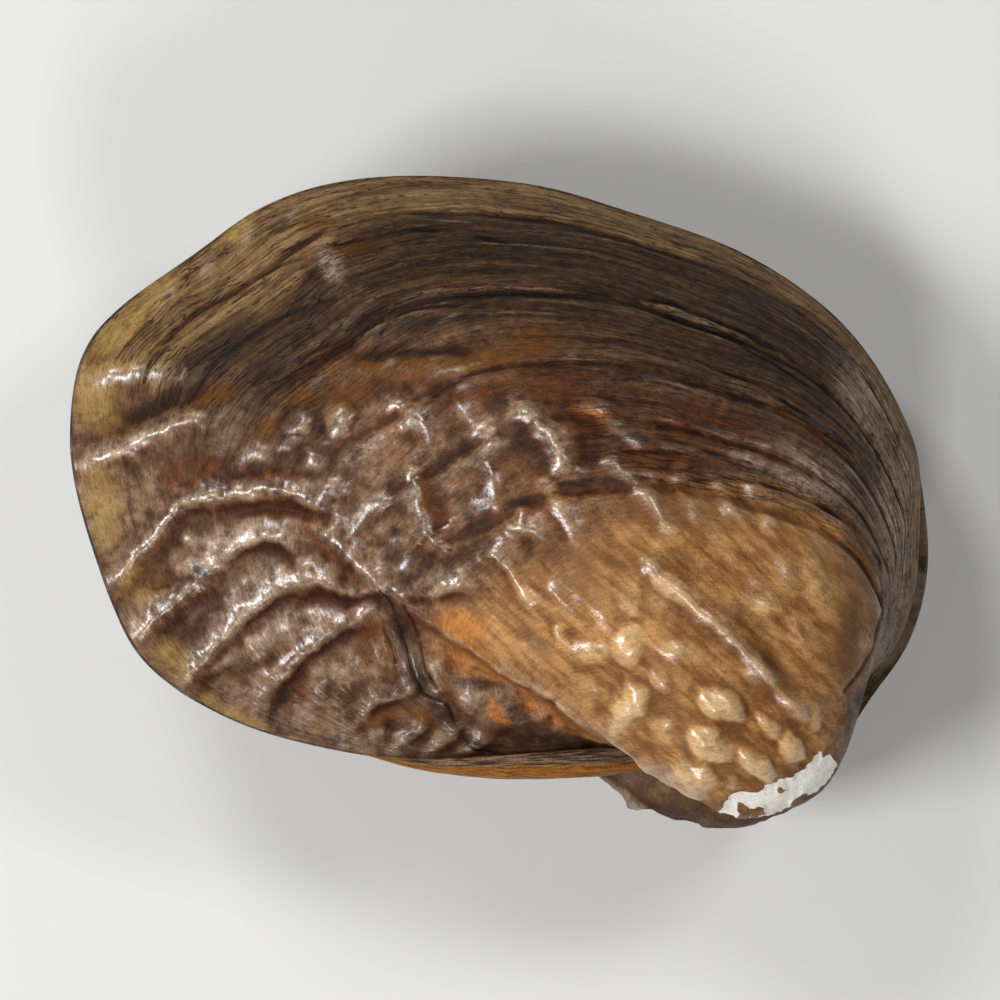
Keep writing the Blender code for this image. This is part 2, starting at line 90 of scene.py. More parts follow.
def soft_light(name, azimuth, zenith, size, power):
    """A square softbox beside the shell: azimuth from +X, zenith angle from straight up."""
    light = bpy.data.lights.new(name, "AREA")
    light.shape = "SQUARE"
    light.size = size
    light.energy = power
    obj = bpy.data.objects.new(name, light)
    turn, lean = math.radians(azimuth), math.radians(zenith)
    flat = math.sin(lean)
    away = Vector((math.cos(turn) * flat, math.sin(turn) * flat, math.cos(lean)))
    obj.location = PICTURE_MIDDLE + away * LIGHT_DISTANCE
    obj.rotation_euler = away.to_track_quat("Z", "Y").to_euler()
    bpy.context.scene.collection.objects.link(obj)


soft_light("key_light", 198, 38, 0.19, 2.8)
soft_light("low_light", 268, 45, 0.12, 1.0)
soft_light("second_light", 36, 34, 0.12, 0.8)
soft_light("upper_light", 122, 40, 0.13, 1.3)

world = bpy.data.worlds.new("studio")
world.use_nodes = True
world.node_tree.nodes["Background"].inputs["Color"].default_value = (1.0, 0.95, 0.88, 1.0)
world.node_tree.nodes["Background"].inputs["Strength"].default_value = 0.06
bpy.context.scene.world = world
bpy.context.scene.view_settings.view_transform = "Standard"

# Left valve: one piece of mother-of-pearl under a horny brown skin, grown in layers from the beak.
# Its outside is a growth spiral with folds, ribs, knobs and flaky growth lines, and its beak is
# worn down to the white shell. The ligament and the hinge hold it to the right valve.
REST_ROLL = math.radians(5.5)
REST_PITCH = math.radians(9.0)
HINGE_FRONT = (30.6, -21.3)
HINGE_BACK = (-6.5, -23.5)
FREE_EDGE = [
    (33.2, -17.8), (36.5, -13.2), (38.2, -8.0), (38.4, -2.3), (37.0, 5.2), (33.2, 12.6), (28.2, 18.0),
    (20.8, 22.6), (11.4, 25.9), (2.8, 28.3), (-7.4, 29.1), (-15.4, 28.4), (-21.9, 26.1), (-27.7, 22.0),
    (-34.4, 17.1), (-37.4, 13.2), (-38.5, 8.0), (-38.2, 1.8), (-36.0, -5.9), (-33.0, -12.9),
    (-28.8, -17.0), (-22.2, -20.4), (-14.1, -22.5),
]
BEAK_FROM_FRONT = 4.8
TURN_RATE = 1.08
TURN_GAIN = (0.22, 0.07)
TURN_GAIN_EASE = (0.50, 0.80)
TURN_LIMIT = math.radians(162.0)
INFLATION = 0.92
YOUNGEST = 0.03
EDGE_INSET = 0.15
EDGE_SETBACK = 1.1
EDGE_SETBACK_REACH = 0.17
EDGE_THICKNESS = 0.7
# Lip of a valve: where it leans to, and each step's way inwards and share of the thickness left
LIP_CENTRE = (0.0, 3.0)
LIP_STEPS = ((0.10, 0.5), (0.45, 0.0))
VALVE_GAP = 0.3
COLUMNS = 392
ROWS = 246
ROW_PLACES = ([0.0, 0.12, 0.40, 1.0], [YOUNGEST, 0.30, 0.555, 1.0])
COLUMN_CROWDING = ([0.0, 0.06, 0.14, 0.54, 0.60, 0.90, 0.95, 1.0],
                   [0.5, 0.5, 0.8, 0.8, 2.1, 2.1, 0.9, 0.9])
LINE_LENGTH = 60.0
EDGE_LENGTH = 200.0
PATH_STEPS = 24

# Height, half width and crest line of each ridge, in millimetres, as seen from above
RIDGES = [
    (1.10, 1.1, [(16.6, -25.2), (12.0, -22.9), (9.8, -21.0), (7.2, -19.6), (3.6, -16.8),
                 (-2.5, -12.8), (-8.0, -9.0), (-12.5, -5.6), (-16.3, -2.0)]),
    (-0.80, 1.5, [(8.0, -21.8), (2.0, -18.6), (-3.0, -15.8), (-8.5, -12.0)]),
    (1.10, 1.0, [(-16.3, -0.4), (-19.0, 1.0), (-21.0, 1.3), (-24.2, 0.2), (-28.3, 0.1), (-30.5, -2.8),
                 (-35.6, -8.0)]),
    (0.90, 0.9, [(-25.5, -6.0), (-28.8, -8.7), (-31.0, -10.2), (-33.2, -12.8)]),
    (0.85, 0.8, [(-24.2, -4.7), (-22.2, -3.7), (-21.0, -3.2), (-19.6, -3.5), (-17.6, -5.6)]),
    (1.00, 0.9, [(-28.9, -16.8), (-25.3, -12.4), (-22.4, -9.6), (-19.3, -7.7), (-16.2, -6.9),
                 (-14.2, -7.9), (-10.0, -7.2), (-7.4, -7.9), (-3.8, -7.3)]),
    (0.85, 0.8, [(-19.6, -15.6), (-17.6, -13.5), (-15.0, -11.6), (-12.9, -10.4)]),
    (0.80, 0.8, [(-13.4, -19.9), (-11.4, -17.8), (-8.2, -16.3)]),
    (0.50, 0.6, [(-26.6, -15.0), (-24.6, -14.2)]),
    (0.45, 0.6, [(-23.4, -11.4), (-22.4, -12.6), (-21.6, -13.8)]),
    (0.40, 0.6, [(-27.8, -3.6), (-25.2, -4.0)]),
    (0.80, 1.3, [(-38.2, 10.3), (-33.5, 11.2), (-28.8, 11.4)]),
    (0.90, 1.0, [(-38.0, 3.2), (-33.6, 4.5), (-31.4, 5.8), (-27.0, 7.2)]),
    (0.60, 1.1, [(-31.6, 19.8), (-29.6, 16.8)]),
    (0.50, 1.1, [(-27.0, 22.4), (-25.6, 19.6)]),
    (0.45, 1.1, [(-23.4, 25.4), (-22.6, 22.4)]),
    (0.60, 0.7, [(-12.6, -20.6), (-11.3, -20.2)]),
    (0.70, 0.7, [(-6.9, -17.3), (-5.9, -18.4)]),
    (1.00, 0.7, [(-8.9, -21.0), (-7.6, -20.2)]),
    (0.95, 0.7, [(-5.9, -21.4), (-4.6, -20.9)]),
    (0.90, 0.7, [(-3.4, -22.2), (-1.8, -21.2)]),
    (0.45, 0.7, [(2.4, -21.8), (5.0, -22.3)]),
    (0.50, 0.8, [(-3.6, -18.0), (-0.6, -19.8), (3.0, -19.4)]),
    (0.45, 0.7, [(-16.9, -3.6), (-16.4, -4.4)]),
    (0.50, 0.7, [(-17.8, -6.0), (-17.4, -6.9)]),
    (0.50, 0.7, [(-16.0, 0.2), (-15.0, 1.1), (-13.6, 0.7)]),
    (0.45, 0.8, [(-13.4, -2.8), (-11.2, -0.6), (-10.0, 0.0)]),
    (0.40, 0.8, [(-3.6, 7.8), (-2.4, 6.6), (-1.2, 5.4)]),
    (0.50, 1.0, [(-15.9, 21.9), (-15.0, 20.2)]),
    (0.50, 1.6, [(-13.0, 11.6), (-8.0, 12.2), (-3.5, 11.6)]),
    (0.60, 1.0, [(-9.8, 8.4), (-7.4, 7.6), (-6.6, 6.6)]),
    (0.80, 0.8, [(-7.8, 2.6), (-7.4, -0.5), (-6.5, -3.0), (-5.4, -4.1)]),
    (0.50, 0.8, [(-1.3, 5.8), (-1.4, 3.4), (-0.6, 0.8)]),
    (0.60, 0.8, [(-0.4, -0.8), (0.6, -2.3), (2.8, -2.9)]),
    (0.60, 0.8, [(4.0, 0.4), (5.0, -1.0), (5.9, -2.6)]),
    (1.00, 1.0, [(1.8, 7.4), (3.0, 6.6), (4.1, 5.4), (5.2, 3.4)]),
    (0.80, 0.9, [(9.4, 3.1), (11.4, 1.3), (12.8, 0.0), (14.4, -2.6)]),
    (0.60, 0.7, [(18.8, 1.0), (19.7, -0.9), (20.5, -1.4)]),
    (0.50, 0.8, [(21.6, 0.8), (22.0, 0.2)]),
    (0.40, 0.8, [(23.4, 0.3), (23.6, -1.6)]),
    (0.40, 0.8, [(15.2, 1.4), (16.4, -1.4)]),
    (0.50, 0.8, [(7.2, 8.0), (9.0, 6.8), (11.2, 5.2)]),
    (0.45, 0.8, [(24.9, -5.4), (25.5, -7.8)]),
    (0.35, 0.8, [(27.0, -4.8), (27.6, -7.4)]),
    (0.75, 0.8, [(-0.8, -4.8), (0.6, -6.0), (2.2, -8.8)]),
    (0.60, 0.7, [(-5.4, -12.0), (-3.6, -13.1)]),
    (1.10, 0.9, [(13.0, -6.2), (14.4, -7.6), (17.2, -9.9), (18.8, -11.0), (21.6, -13.9),
                 (24.0, -16.5), (25.8, -18.6)]),
    (-0.50, 0.9, [(20.8, -11.2), (24.4, -15.8)]),
    (0.50, 0.7, [(11.6, -6.8), (11.4, -9.4)]),
    (0.60, 0.8, [(9.2, -10.0), (9.5, -11.0)]),
    (0.50, 0.7, [(13.0, -12.2), (15.4, -13.8)]),
    (0.50, 0.9, [(6.2, -13.8), (8.8, -13.0)]),
    (0.45, 0.7, [(4.3, -7.6), (5.7, -9.4)]),
    (0.40, 0.6, [(13.3, -8.6), (14.6, -9.6)]),
    (0.65, 0.9, [(22.4, -9.0), (23.2, -9.5)]),
    (0.55, 0.8, [(25.8, -11.2), (26.2, -12.0)]),
    (-0.55, 0.8, [(-24.6, -1.0), (-21.0, -0.6), (-18.2, -0.9), (-16.2, -2.0)]),
    (-0.40, 0.7, [(-22.6, -5.0), (-20.6, -4.7), (-18.6, -5.0)]),
    (-0.55, 0.8, [(-22.2, -11.2), (-19.5, -9.3), (-16.5, -8.5), (-14.4, -9.2)]),
    (-0.55, 0.9, [(-19.4, -17.8), (-18.5, -15.4), (-16.4, -13.5), (-14.0, -12.0)]),
    (-0.40, 0.7, [(-12.8, -19.1), (-10.0, -18.0)]),
    (-0.55, 1.2, [(-32.4, 7.2), (-30.0, 8.4), (-27.4, 9.2)]),
    (-0.35, 0.7, [(-24.0, 2.0), (-20.4, 2.7), (-17.0, 2.3)]),
    (-0.40, 0.8, [(-30.6, -7.6), (-27.6, -7.0), (-25.4, -6.4)]),
    (-0.40, 0.9, [(-13.0, 12.9), (-8.0, 13.4), (-3.0, 13.0)]),
    (0.28, 1.0, [(-12.6, 14.4), (-9.5, 15.6), (-5.5, 15.7), (-2.0, 14.8)]),
    (0.55, 0.7, [(1.4, -20.8), (3.2, -21.4)]),
    (0.55, 0.7, [(4.8, -20.6), (6.3, -21.6)]),
    (0.55, 0.7, [(7.8, -21.7), (9.2, -22.5)]),
    (0.40, 0.6, [(3.6, -23.0), (6.6, -22.9)]),
    (0.40, 0.6, [(9.4, -23.3), (11.8, -23.0)]),
    (0.45, 0.6, [(-1.0, -22.4), (1.6, -22.8)]),
]
RIDGE_STRENGTH = 0.95

# Oval knobs: centre, half length, half width, turn in degrees, height
KNOBS = [
    (-18.1, 7.2, 1.9, 1.4, 55, 0.65), (-14.4, 7.3, 2.3, 1.4, 78, 0.70),
    (-16.9, 3.1, 2.0, 1.5, -50, 0.65), (-21.9, 3.9, 2.1, 1.4, 25, 0.55),
    (-8.2, 7.3, 2.9, 1.5, -40, 0.65), (-19.2, 4.9, 1.3, 1.0, 30, 0.35),
    (11.0, -18.2, 2.9, 1.7, 72, 1.6), (11.0, -12.6, 2.3, 1.7, 65, 0.75),
    (19.3, -18.1, 2.6, 1.6, -32, 1.25), (18.0, -21.3, 2.7, 1.7, -38, 1.3),
    (17.2, -24.1, 2.1, 1.3, -25, 1.5), (22.2, -23.2, 2.2, 1.2, -38, 0.9),
    (25.6, -21.8, 1.8, 1.3, -60, 0.9), (23.5, -20.0, 1.7, 0.9, -40, 0.7),
    (14.2, -20.2, 1.6, 1.0, -40, 0.5), (8.1, -13.2, 2.0, 1.1, 0, 0.45),
    (14.6, -7.7, 1.7, 1.2, -45, 0.9), (23.0, -9.3, 1.5, 1.0, -35, 0.7),
    (15.0, -13.2, 1.8, 0.9, -25, 0.5), (1.2, -1.4, 1.5, 1.3, 0, 0.8),
    (20.0, -25.0, 1.2, 0.8, -20, 0.5), (5.2, -12.0, 1.6, 1.0, -55, 0.5),
    (2.2, -8.4, 1.2, 0.8, -50, 0.5), (13.6, -15.8, 1.4, 1.0, -70, 0.4),
    (27.2, -19.4, 1.0, 0.8, -40, 0.5), (-11.2, -20.9, 1.2, 0.9, 10, 0.6),
    (-8.9, -21.2, 1.4, 0.9, -20, 0.6), (21.4, -15.4, 1.4, 0.8, -40, 0.35),
    (7.2, -16.4, 1.8, 1.2, -40, 0.4),
]
SWELLING_SHARE = 0.6
SWELLING_WIDTH = 2.0
CREST_WIDTH = 0.90
STEEP_SIDE = (-0.35, 0.94)
STEEPNESS = 0.30
CREST_LENGTH = (1.5, 5.0)
RIDGE_BLEND = 3.0

# Growth pauses: part of the final size, depth and half width of the groove
GROWTH_STOPS = [(0.555, 0.45, 0.008), (0.63, 0.20, 0.006), (0.70, 0.20, 0.006), (0.80, 0.35, 0.007),
                (0.93, 0.20, 0.006)]

# Cracks between the layers of skin: depth, half width and line
CRACKS = [
    (0.21, 0.17, [(-3.0, 18.3), (0.0, 18.5), (6.0, 18.7), (10.0, 18.5), (15.0, 17.5), (20.0, 15.6),
                  (25.0, 13.2), (28.0, 11.3)]),
    (0.17, 0.16, [(-28.5, 8.0), (-26.5, 11.0), (-24.5, 13.5), (-21.0, 15.5), (-18.0, 17.0),
                  (-15.0, 17.8)]),
    (0.17, 0.14, [(-31.8, 10.3), (-31.0, 12.5), (-29.0, 15.0), (-27.0, 16.8), (-24.5, 18.3),
                  (-22.0, 19.8), (-19.0, 21.2), (-16.0, 22.3), (-11.0, 23.5), (-8.0, 24.1),
                  (-5.0, 23.9), (0.0, 23.1)]),
    (0.16, 0.14, [(-22.0, 10.2), (-17.0, 13.2), (-11.5, 15.5), (-8.0, 16.8), (-4.0, 17.3)]),
    (0.14, 0.14, [(-7.0, 8.4), (-5.0, 9.9), (-3.0, 11.0), (0.0, 11.7)]),
    (0.13, 0.13, [(14.0, 23.7), (19.0, 21.9), (24.0, 19.5)]),
    (0.17, 0.16, [(5.0, 1.5), (10.0, 1.7), (20.0, 1.7), (22.5, 1.4), (25.0, 0.9), (27.0, 0.0),
                  (29.0, -1.0), (31.0, -2.4), (32.5, -4.0), (33.4, -5.2), (33.8, -10.0),
                  (33.0, -13.0), (31.5, -15.3), (30.2, -17.0)]),
    (0.13, 0.14, [(9.0, 3.8), (14.0, 4.2), (19.0, 4.3), (22.0, 3.2)]),
    (0.14, 0.13, [(20.0, 9.6), (25.0, 8.0), (28.0, 6.0), (30.0, 5.0), (31.0, 4.2)]),
    (0.14, 0.13, [(17.0, 12.5), (22.0, 10.6), (27.0, 7.5)]),
    (0.14, 0.13, [(15.0, 16.5), (21.0, 14.1), (27.0, 10.5)]),
    (0.16, 0.11, [(-10.5, -7.5), (-9.7, -10.0), (-9.0, -12.5), (-8.0, -15.0), (-7.2, -17.0),
                  (-5.2, -18.0), (-4.0, -20.0), (-2.5, -22.0), (-0.5, -22.5)]),
    (0.14, 0.11, [(-7.5, -13.0), (-6.8, -15.5), (-5.5, -17.3)]),
    (0.12, 0.11, [(-11.2, -9.6), (-10.6, -11.8), (-9.4, -14.4)]),
    (0.11, 0.11, [(-8.6, -9.0), (-8.0, -11.2), (-7.6, -12.6)]),
    (0.05, 0.16, [(-33.6, 4.0), (-33.2, 0.0), (-32.5, -3.0)]),
]

# Patches of colour in the skin, some partly painted shade and highlight as noted: centre, half length,
# half width, turn in degrees
PATCHES = {
    "olive": [
        (-35.6, -0.4, 3.8, 2.0, 100), (-32.2, -7.4, 2.3, 1.9, 0), (-29.6, -13.9, 2.1, 1.5, 125),
        (-36.4, 8.8, 3.4, 2.2, -35), (-33.6, 15.4, 4.4, 1.2, 45), (-26.0, -17.7, 1.0, 0.7, 150),
        (-23.5, -19.2, 3.0, 0.5, 157), (-34.5, 11.6, 3.0, 0.8, 5), (-30.5, 19.0, 2.4, 1.2, 40),
        (-23.6, 24.0, 1.6, 1.0, 30),
    ],
    # Amber skin, partly painted shade: the patches under the knobs of the middle and on the slope below
    # the crest at -10.9, -19.2.
    "amber": [
        (-9.0, 11.6, 6.4, 1.5, 3), (-1.5, 12.2, 4.0, 1.3, 8), (2.4, 13.9, 3.0, 1.2, 6),
        (-13.6, 9.4, 2.4, 1.5, 20), (7.0, 6.6, 2.4, 1.2, -15), (-17.5, 9.0, 1.8, 0.9, 0),
        (-21.0, 6.2, 1.8, 1.1, 40), (27.0, 6.0, 4.6, 0.6, -36), (-10.9, -19.2, 3.0, 0.9, 22),
        (-7.4, -19.0, 2.0, 0.7, -25), (-16.8, 24.6, 1.6, 0.7, 20), (-13.5, 22.3, 3.0, 0.9, 15),
        (-25.6, 9.2, 2.4, 1.0, 25), (-34.2, 6.8, 2.4, 1.0, 20), (31.6, -5.0, 3.6, 1.0, 112),
        (30.6, -12.0, 4.0, 1.0, 84), (-6.8, 0.4, 1.4, 0.7, 100), (12.4, 3.0, 1.6, 0.8, -20),
    ],
    "rust": [
        (-20.0, -1.0, 4.3, 1.0, -4), (-20.2, 2.2, 3.6, 0.6, -8), (-28.0, 2.3, 2.6, 1.5, 0),
        (-20.6, -4.5, 2.2, 0.6, 5), (-16.4, -8.6, 3.4, 0.9, -8), (-12.6, -11.5, 1.5, 2.4, 15),
        (-18.2, -15.6, 3.0, 1.1, 112), (-5.4, -1.4, 2.3, 0.9, 110), (4.4, 9.6, 5.0, 2.2, -10),
        (1.0, -20.8, 3.0, 0.9, -14), (-8.0, -10.4, 3.0, 2.4, 70), (-16.0, 12.6, 3.2, 1.0, 25),
        (-2.6, 9.2, 3.0, 0.9, 20), (17.0, 6.6, 8.0, 1.8, -12), (13.0, 4.0, 8.0, 1.2, 0),
        (-27.0, 3.0, 2.6, 1.0, 8), (23.6, 3.9, 3.0, 0.8, -20), (-5.0, -17.6, 1.8, 1.0, -40),
    ],
    # Pale skin on the knobs; the thin streaks along crests and the spot at 14.0, -7.2 are painted
    # highlight, and the wide patch at 27.6, -7.8 is painted light.
    "pale": [
        (11.6, -19.0, 1.1, 0.9, 60), (19.9, -18.4, 1.2, 0.9, -30), (18.0, -21.2, 1.2, 1.0, -40),
        (25.4, -22.2, 1.1, 0.7, -40), (21.8, -23.6, 1.2, 0.6, -40), (17.5, -24.4, 0.9, 0.7, -40),
        (7.8, -13.2, 1.6, 0.5, 5), (11.2, -11.6, 1.3, 1.1, 0), (14.0, -7.2, 1.0, 0.8, -40),
        (23.0, -9.4, 0.9, 0.6, -30), (5.0, -17.6, 3.8, 0.35, -40), (2.0, -8.2, 1.0, 0.5, -50),
        (10.0, -21.3, 2.6, 0.3, -35), (30.0, -17.1, 0.40, 0.36, 0), (12.8, -25.8, 0.40, 0.35, 0),
        (18.2, -10.7, 3.4, 0.22, -44), (23.4, -16.0, 3.0, 0.22, -50), (16.2, -13.4, 1.8, 0.8, -30),
        (13.2, -9.4, 2.6, 0.8, -40), (22.8, -10.8, 2.6, 0.7, -42), (18.6, -14.6, 2.0, 0.6, -40),
        (27.6, -7.8, 2.6, 1.6, -60),
    ],
    "orange": [
        (-3.0, -14.4, 3.6, 1.6, -28), (-0.8, -15.8, 1.8, 1.0, -20), (-0.6, -19.0, 1.5, 0.6, -50),
        (2.6, -18.2, 2.2, 1.0, -38), (-3.6, -10.8, 2.4, 1.3, -20), (7.6, 7.6, 1.8, 0.6, -15),
        (1.5, -16.2, 3.0, 0.6, -35), (6.5, -20.4, 3.0, 0.5, -35), (5.0, -19.6, 3.0, 1.1, -25),
    ],
    # Umber skin, partly painted shade: the narrow strips in the gaps between the knobs near the beak.
    "umber_and_shade": [
        (9.6, -5.6, 1.9, 0.7, -40), (3.6, -0.2, 6.0, 3.4, -25), (12.0, -0.8, 8.0, 2.0, -4),
        (23.0, -0.2, 6.0, 1.2, -8), (31.2, -6.0, 4.6, 2.0, 106), (30.2, -13.0, 4.0, 1.6, 80),
        (5.6, -4.8, 4.0, 1.8, -35), (20.0, -12.4, 3.2, 0.6, -44), (14.0, -17.8, 1.5, 2.6, 15),
        (23.4, -15.4, 3.2, 1.6, -45), (6.2, -7.6, 3.0, 1.8, -25), (16.2, -22.2, 0.6, 2.2, 10),
        (20.8, -20.8, 0.6, 1.9, 40), (14.6, -23.6, 2.0, 0.7, -40), (25.0, -24.0, 1.6, 0.5, -30),
        (20.0, -24.4, 0.8, 0.7, 0), (8.4, -17.4, 0.6, 2.6, 25), (2.6, -12.0, 0.8, 2.6, 40),
        (-10.8, -12.6, 2.0, 2.6, 10),
    ],
    # Grey skin, partly painted sheen and highlights: the satin patch at 26.6, 2.4 and the small spots
    # on crests and knobs at the upper left.
    "grey": [
        (26.6, 2.4, 4.6, 2.0, -28), (36.4, 2.0, 6.0, 1.6, 105), (35.6, -4.0, 12.0, 2.4, 95),
        (33.0, 7.8, 6.0, 2.2, 118), (22.0, 3.6, 3.0, 0.7, -12), (-23.5, -4.2, 5.0, 2.4, 20),
        (-22.0, -10.5, 6.0, 2.4, 40), (34.6, -13.0, 3.4, 1.4, 60), (-11.2, -20.9, 1.6, 0.7, 5),
        (-8.6, -21.4, 1.8, 0.6, -20), (-0.4, 6.2, 2.4, 1.4, 60), (-15.4, 20.9, 1.7, 1.1, -65),
        (-33.6, 11.0, 4.0, 0.8, 5), (-29.6, 18.6, 1.2, 0.6, 60), (-26.2, 20.6, 1.1, 0.5, 60),
        (-22.8, 23.6, 1.0, 0.5, 70), (-18.9, 25.4, 0.8, 0.4, 75), (-33.0, 5.0, 3.6, 0.7, 20),
    ],
    # Dark skin, partly painted shade: the strips at 3.6, -21.4 and -2.6, -16.6 darken recesses between
    # beak and hinge.
    "dark_and_shade": [
        (-9.3, -11.5, 3.2, 0.9, 105), (-7.6, -15.6, 2.6, 0.8, 108), (-5.4, -18.9, 2.2, 0.9, 130),
        (-2.6, -21.4, 1.9, 0.8, 150), (-2.6, -16.6, 2.4, 0.5, -8), (-31.0, 8.4, 3.6, 0.9, 30),
        (3.6, -21.4, 5.0, 0.9, -12), (-10.8, 15.0, 1.6, 0.5, 15), (-26.0, 13.4, 5.4, 1.6, 35),
        (-17.0, 16.8, 1.6, 0.5, 15), (-8.0, 12.9, 5.0, 0.5, 5), (-7.0, 15.6, 4.2, 0.45, 3),
        (32.6, -17.0, 2.4, 0.7, 48), (1.6, -0.2, 1.6, 0.5, 10), (-26.6, -6.3, 1.4, 0.5, -40),
    ],
}
GOLD_OUTLINE = [(12.0, 1.0), (20.0, 1.4), (27.0, 0.2), (31.0, -3.0), (33.2, -7.5), (33.0, -13.0),
                (30.0, -18.0), (28.5, -22.5), (22.0, -28.0), (14.0, -27.5), (11.6, -22.9),
                (8.0, -20.4), (5.2, -18.0), (2.5, -15.9), (0.0, -15.6), (-4.0, -14.8), (-6.2, -11.5),
                (-4.4, -8.8), (0.0, -7.2), (5.0, -5.4), (9.0, -1.8)]

# The outline where the skin is worn off the beak, and the scraps of skin left inside it, each
# with how far down the beak's side it reaches
WORN_OUTLINE = [(19.3, -27.2), (20.2, -26.0), (21.2, -25.9), (22.5, -25.8), (23.2, -25.2),
                (24.2, -24.7), (25.6, -24.4), (26.6, -23.8), (27.3, -23.1), (27.8, -22.4),
                (28.2, -22.2), (28.5, -23.0), (29.1, -22.7), (29.4, -23.2), (30.4, -25.0),
                (27.0, -29.5), (21.0, -30.0), (18.4, -28.9)]
WORN_SCRAPS = [
    (9.0, [(20.6, -26.9), (21.5, -27.0), (21.9, -28.0), (22.2, -30.0), (20.9, -30.0), (20.8, -28.0)]),
    (4.0, [(21.6, -27.7), (22.6, -27.3), (23.4, -28.0), (22.4, -28.7)]),
    (0.6, [(24.2, -25.5), (25.0, -25.4), (25.2, -26.1), (25.9, -26.4), (24.8, -26.4)]),
    (1.6, [(25.1, -27.6), (25.9, -26.6), (26.9, -25.8), (26.6, -26.8), (25.6, -27.8)]),
]
WORN_DEPTH = 0.22
WORN_REACH = 6.2


def smoothstep(low, high, value):
    """Ease from 0 to 1 between low and high."""
    t = np.clip((value - low) / (high - low), 0.0, 1.0)
    return t * t * (3.0 - 2.0 * t)


def wander(u, v, seed):
    """Smooth noise from -1 to 1 over a plane, one bump to a unit."""
    i, j = np.floor(u).astype(np.int64), np.floor(v).astype(np.int64)
    across, up = u - i, v - j
    across, up = across * across * (3 - 2 * across), up * up * (3 - 2 * up)

    def corner(step_i, step_j):
        mixed = ((i + step_i) * 374761393 + (j + step_j) * 668265263 + seed * 2246822519) & 0xFFFFFFFF
        mixed = ((mixed ^ (mixed >> 13)) * 1274126177) & 0xFFFFFFFF
        return ((mixed ^ (mixed >> 16)) & 0xFFFF) / 32767.5 - 1.0

    low = corner(0, 0) * (1 - across) + corner(1, 0) * across
    high = corner(0, 1) * (1 - across) + corner(1, 1) * across
    return low * (1 - up) + high * up


def rough(u, v, seed, layers=4):
    """Noise with finer and weaker layers on top."""
    return sum(wander(u * 2 ** k, v * 2 ** k, seed + k) / 2 ** k for k in range(layers)) / 1.6


def to_rest(points):
    """Turn points of the shell's own frame into the resting pose."""
    roll_c, roll_s = math.cos(REST_ROLL), math.sin(REST_ROLL)
    pitch_c, pitch_s = math.cos(REST_PITCH), math.sin(REST_PITCH)
    x, y, z = points[..., 0], points[..., 1], points[..., 2]
    rolled_y = y * roll_c + z * roll_s
    rolled_z = -y * roll_s + z * roll_c
    level_x = x * pitch_c + rolled_z * pitch_s
    level_z = -x * pitch_s + rolled_z * pitch_c
    return np.stack([level_x, rolled_y, level_z], axis=-1)


def lay_back(points):
    """Take points of the edge, seen from above the resting shell, back into the plane of the edge."""
    seen = np.asarray(points, dtype=float)
    y = seen[..., 1] / math.cos(REST_ROLL)
    x = (seen[..., 0] + y * math.sin(REST_ROLL) * math.sin(REST_PITCH)) / math.cos(REST_PITCH)
    return np.stack([x, y], axis=-1)


def smooth_path(points, places):
    """Points of a smooth curve through the given ones, at the given parts of its length."""
    pts = np.asarray(points, dtype=float)
    padded = np.vstack([2 * pts[0] - pts[1], pts, 2 * pts[-1] - pts[-2]])
    step = np.linspace(0.0, 1.0, PATH_STEPS, endpoint=False)[:, None]
    pieces = []
    for i in range(len(pts) - 1):
        a, b, c, d = padded[i:i + 4]
        pieces.append(0.5 * (2 * b + (c - a) * step + (2 * a - 5 * b + 4 * c - d) * step ** 2
                             + (3 * b - a - 3 * c + d) * step ** 3))
    dense = np.vstack(pieces + [pts[-1:]])
    length = np.concatenate([[0.0], np.cumsum(np.linalg.norm(np.diff(dense, axis=0), axis=1))])
    return np.column_stack([np.interp(places * length[-1], length, dense[:, k]) for k in range(2)])


def free_edge(setback):
    """The valve's edge in its own plane, and how far round each of its points is."""
    even = np.linspace(0.0, 1.0, 2000)
    reached = np.cumsum(np.interp(even, *COLUMN_CROWDING))
    around = np.interp(np.linspace(reached[0], reached[-1], COLUMNS), reached, even)
    edge = smooth_path(lay_back([HINGE_FRONT] + FREE_EDGE + [HINGE_BACK]), around)
    along = np.gradient(edge, around, axis=0)
    along /= np.linalg.norm(along, axis=1)[:, None]
    inward = np.column_stack([-along[:, 1], along[:, 0]])
    near_front = 1.0 - smoothstep(0.6, 1.0, around / EDGE_SETBACK_REACH)
    off_hinge = smoothstep(0.0, 0.03, np.minimum(around, 1.0 - around))
    return edge + inward * ((EDGE_INSET + setback * near_front) * off_hinge)[:, None], around


def growth_surface(setback):
    """Plain outside of a valve: columns round the edge, rows from the beak to the edge."""
    edge, around = free_edge(setback)
    front, back = lay_back(HINGE_FRONT), lay_back(HINGE_BACK)
    hinge = (back - front) / np.linalg.norm(back - front)
    across = np.array([hinge[1], -hinge[0]])
    beak = front + BEAK_FROM_FRONT * hinge
    along = ((edge - beak) @ hinge)[:, None]
    away = ((edge - beak) @ across)[:, None]
    size = np.interp(np.linspace(0.0, 1.0, ROWS), *ROW_PLACES)[None, :]
    age = np.log(1.0 / size)
    gain = TURN_GAIN[0] + (TURN_GAIN[1] - TURN_GAIN[0]) * smoothstep(*TURN_GAIN_EASE, around)[:, None]
    free_turn = TURN_RATE * age + gain * age ** 2
    turn = TURN_LIMIT * (1.0 - np.exp(-(free_turn / TURN_LIMIT) ** 6)) ** (1.0 / 6)
    plan = beak + (along * size)[..., None] * hinge + (away * size * np.cos(turn))[..., None] * across
    rise = away * size * np.sin(turn) * INFLATION
    return np.dstack([plan, rise]), around, size.ravel()


def outward_normals(grid):
    """Normals of the grid that point away from the shell."""
    normal = np.cross(np.gradient(grid, axis=0), np.gradient(grid, axis=1))
    normal /= np.maximum(np.linalg.norm(normal, axis=-1, keepdims=True), 1e-9)
    middle = normal[grid.shape[0] // 2, grid.shape[1] // 2]
    return normal if middle[2] > 0 else -normal


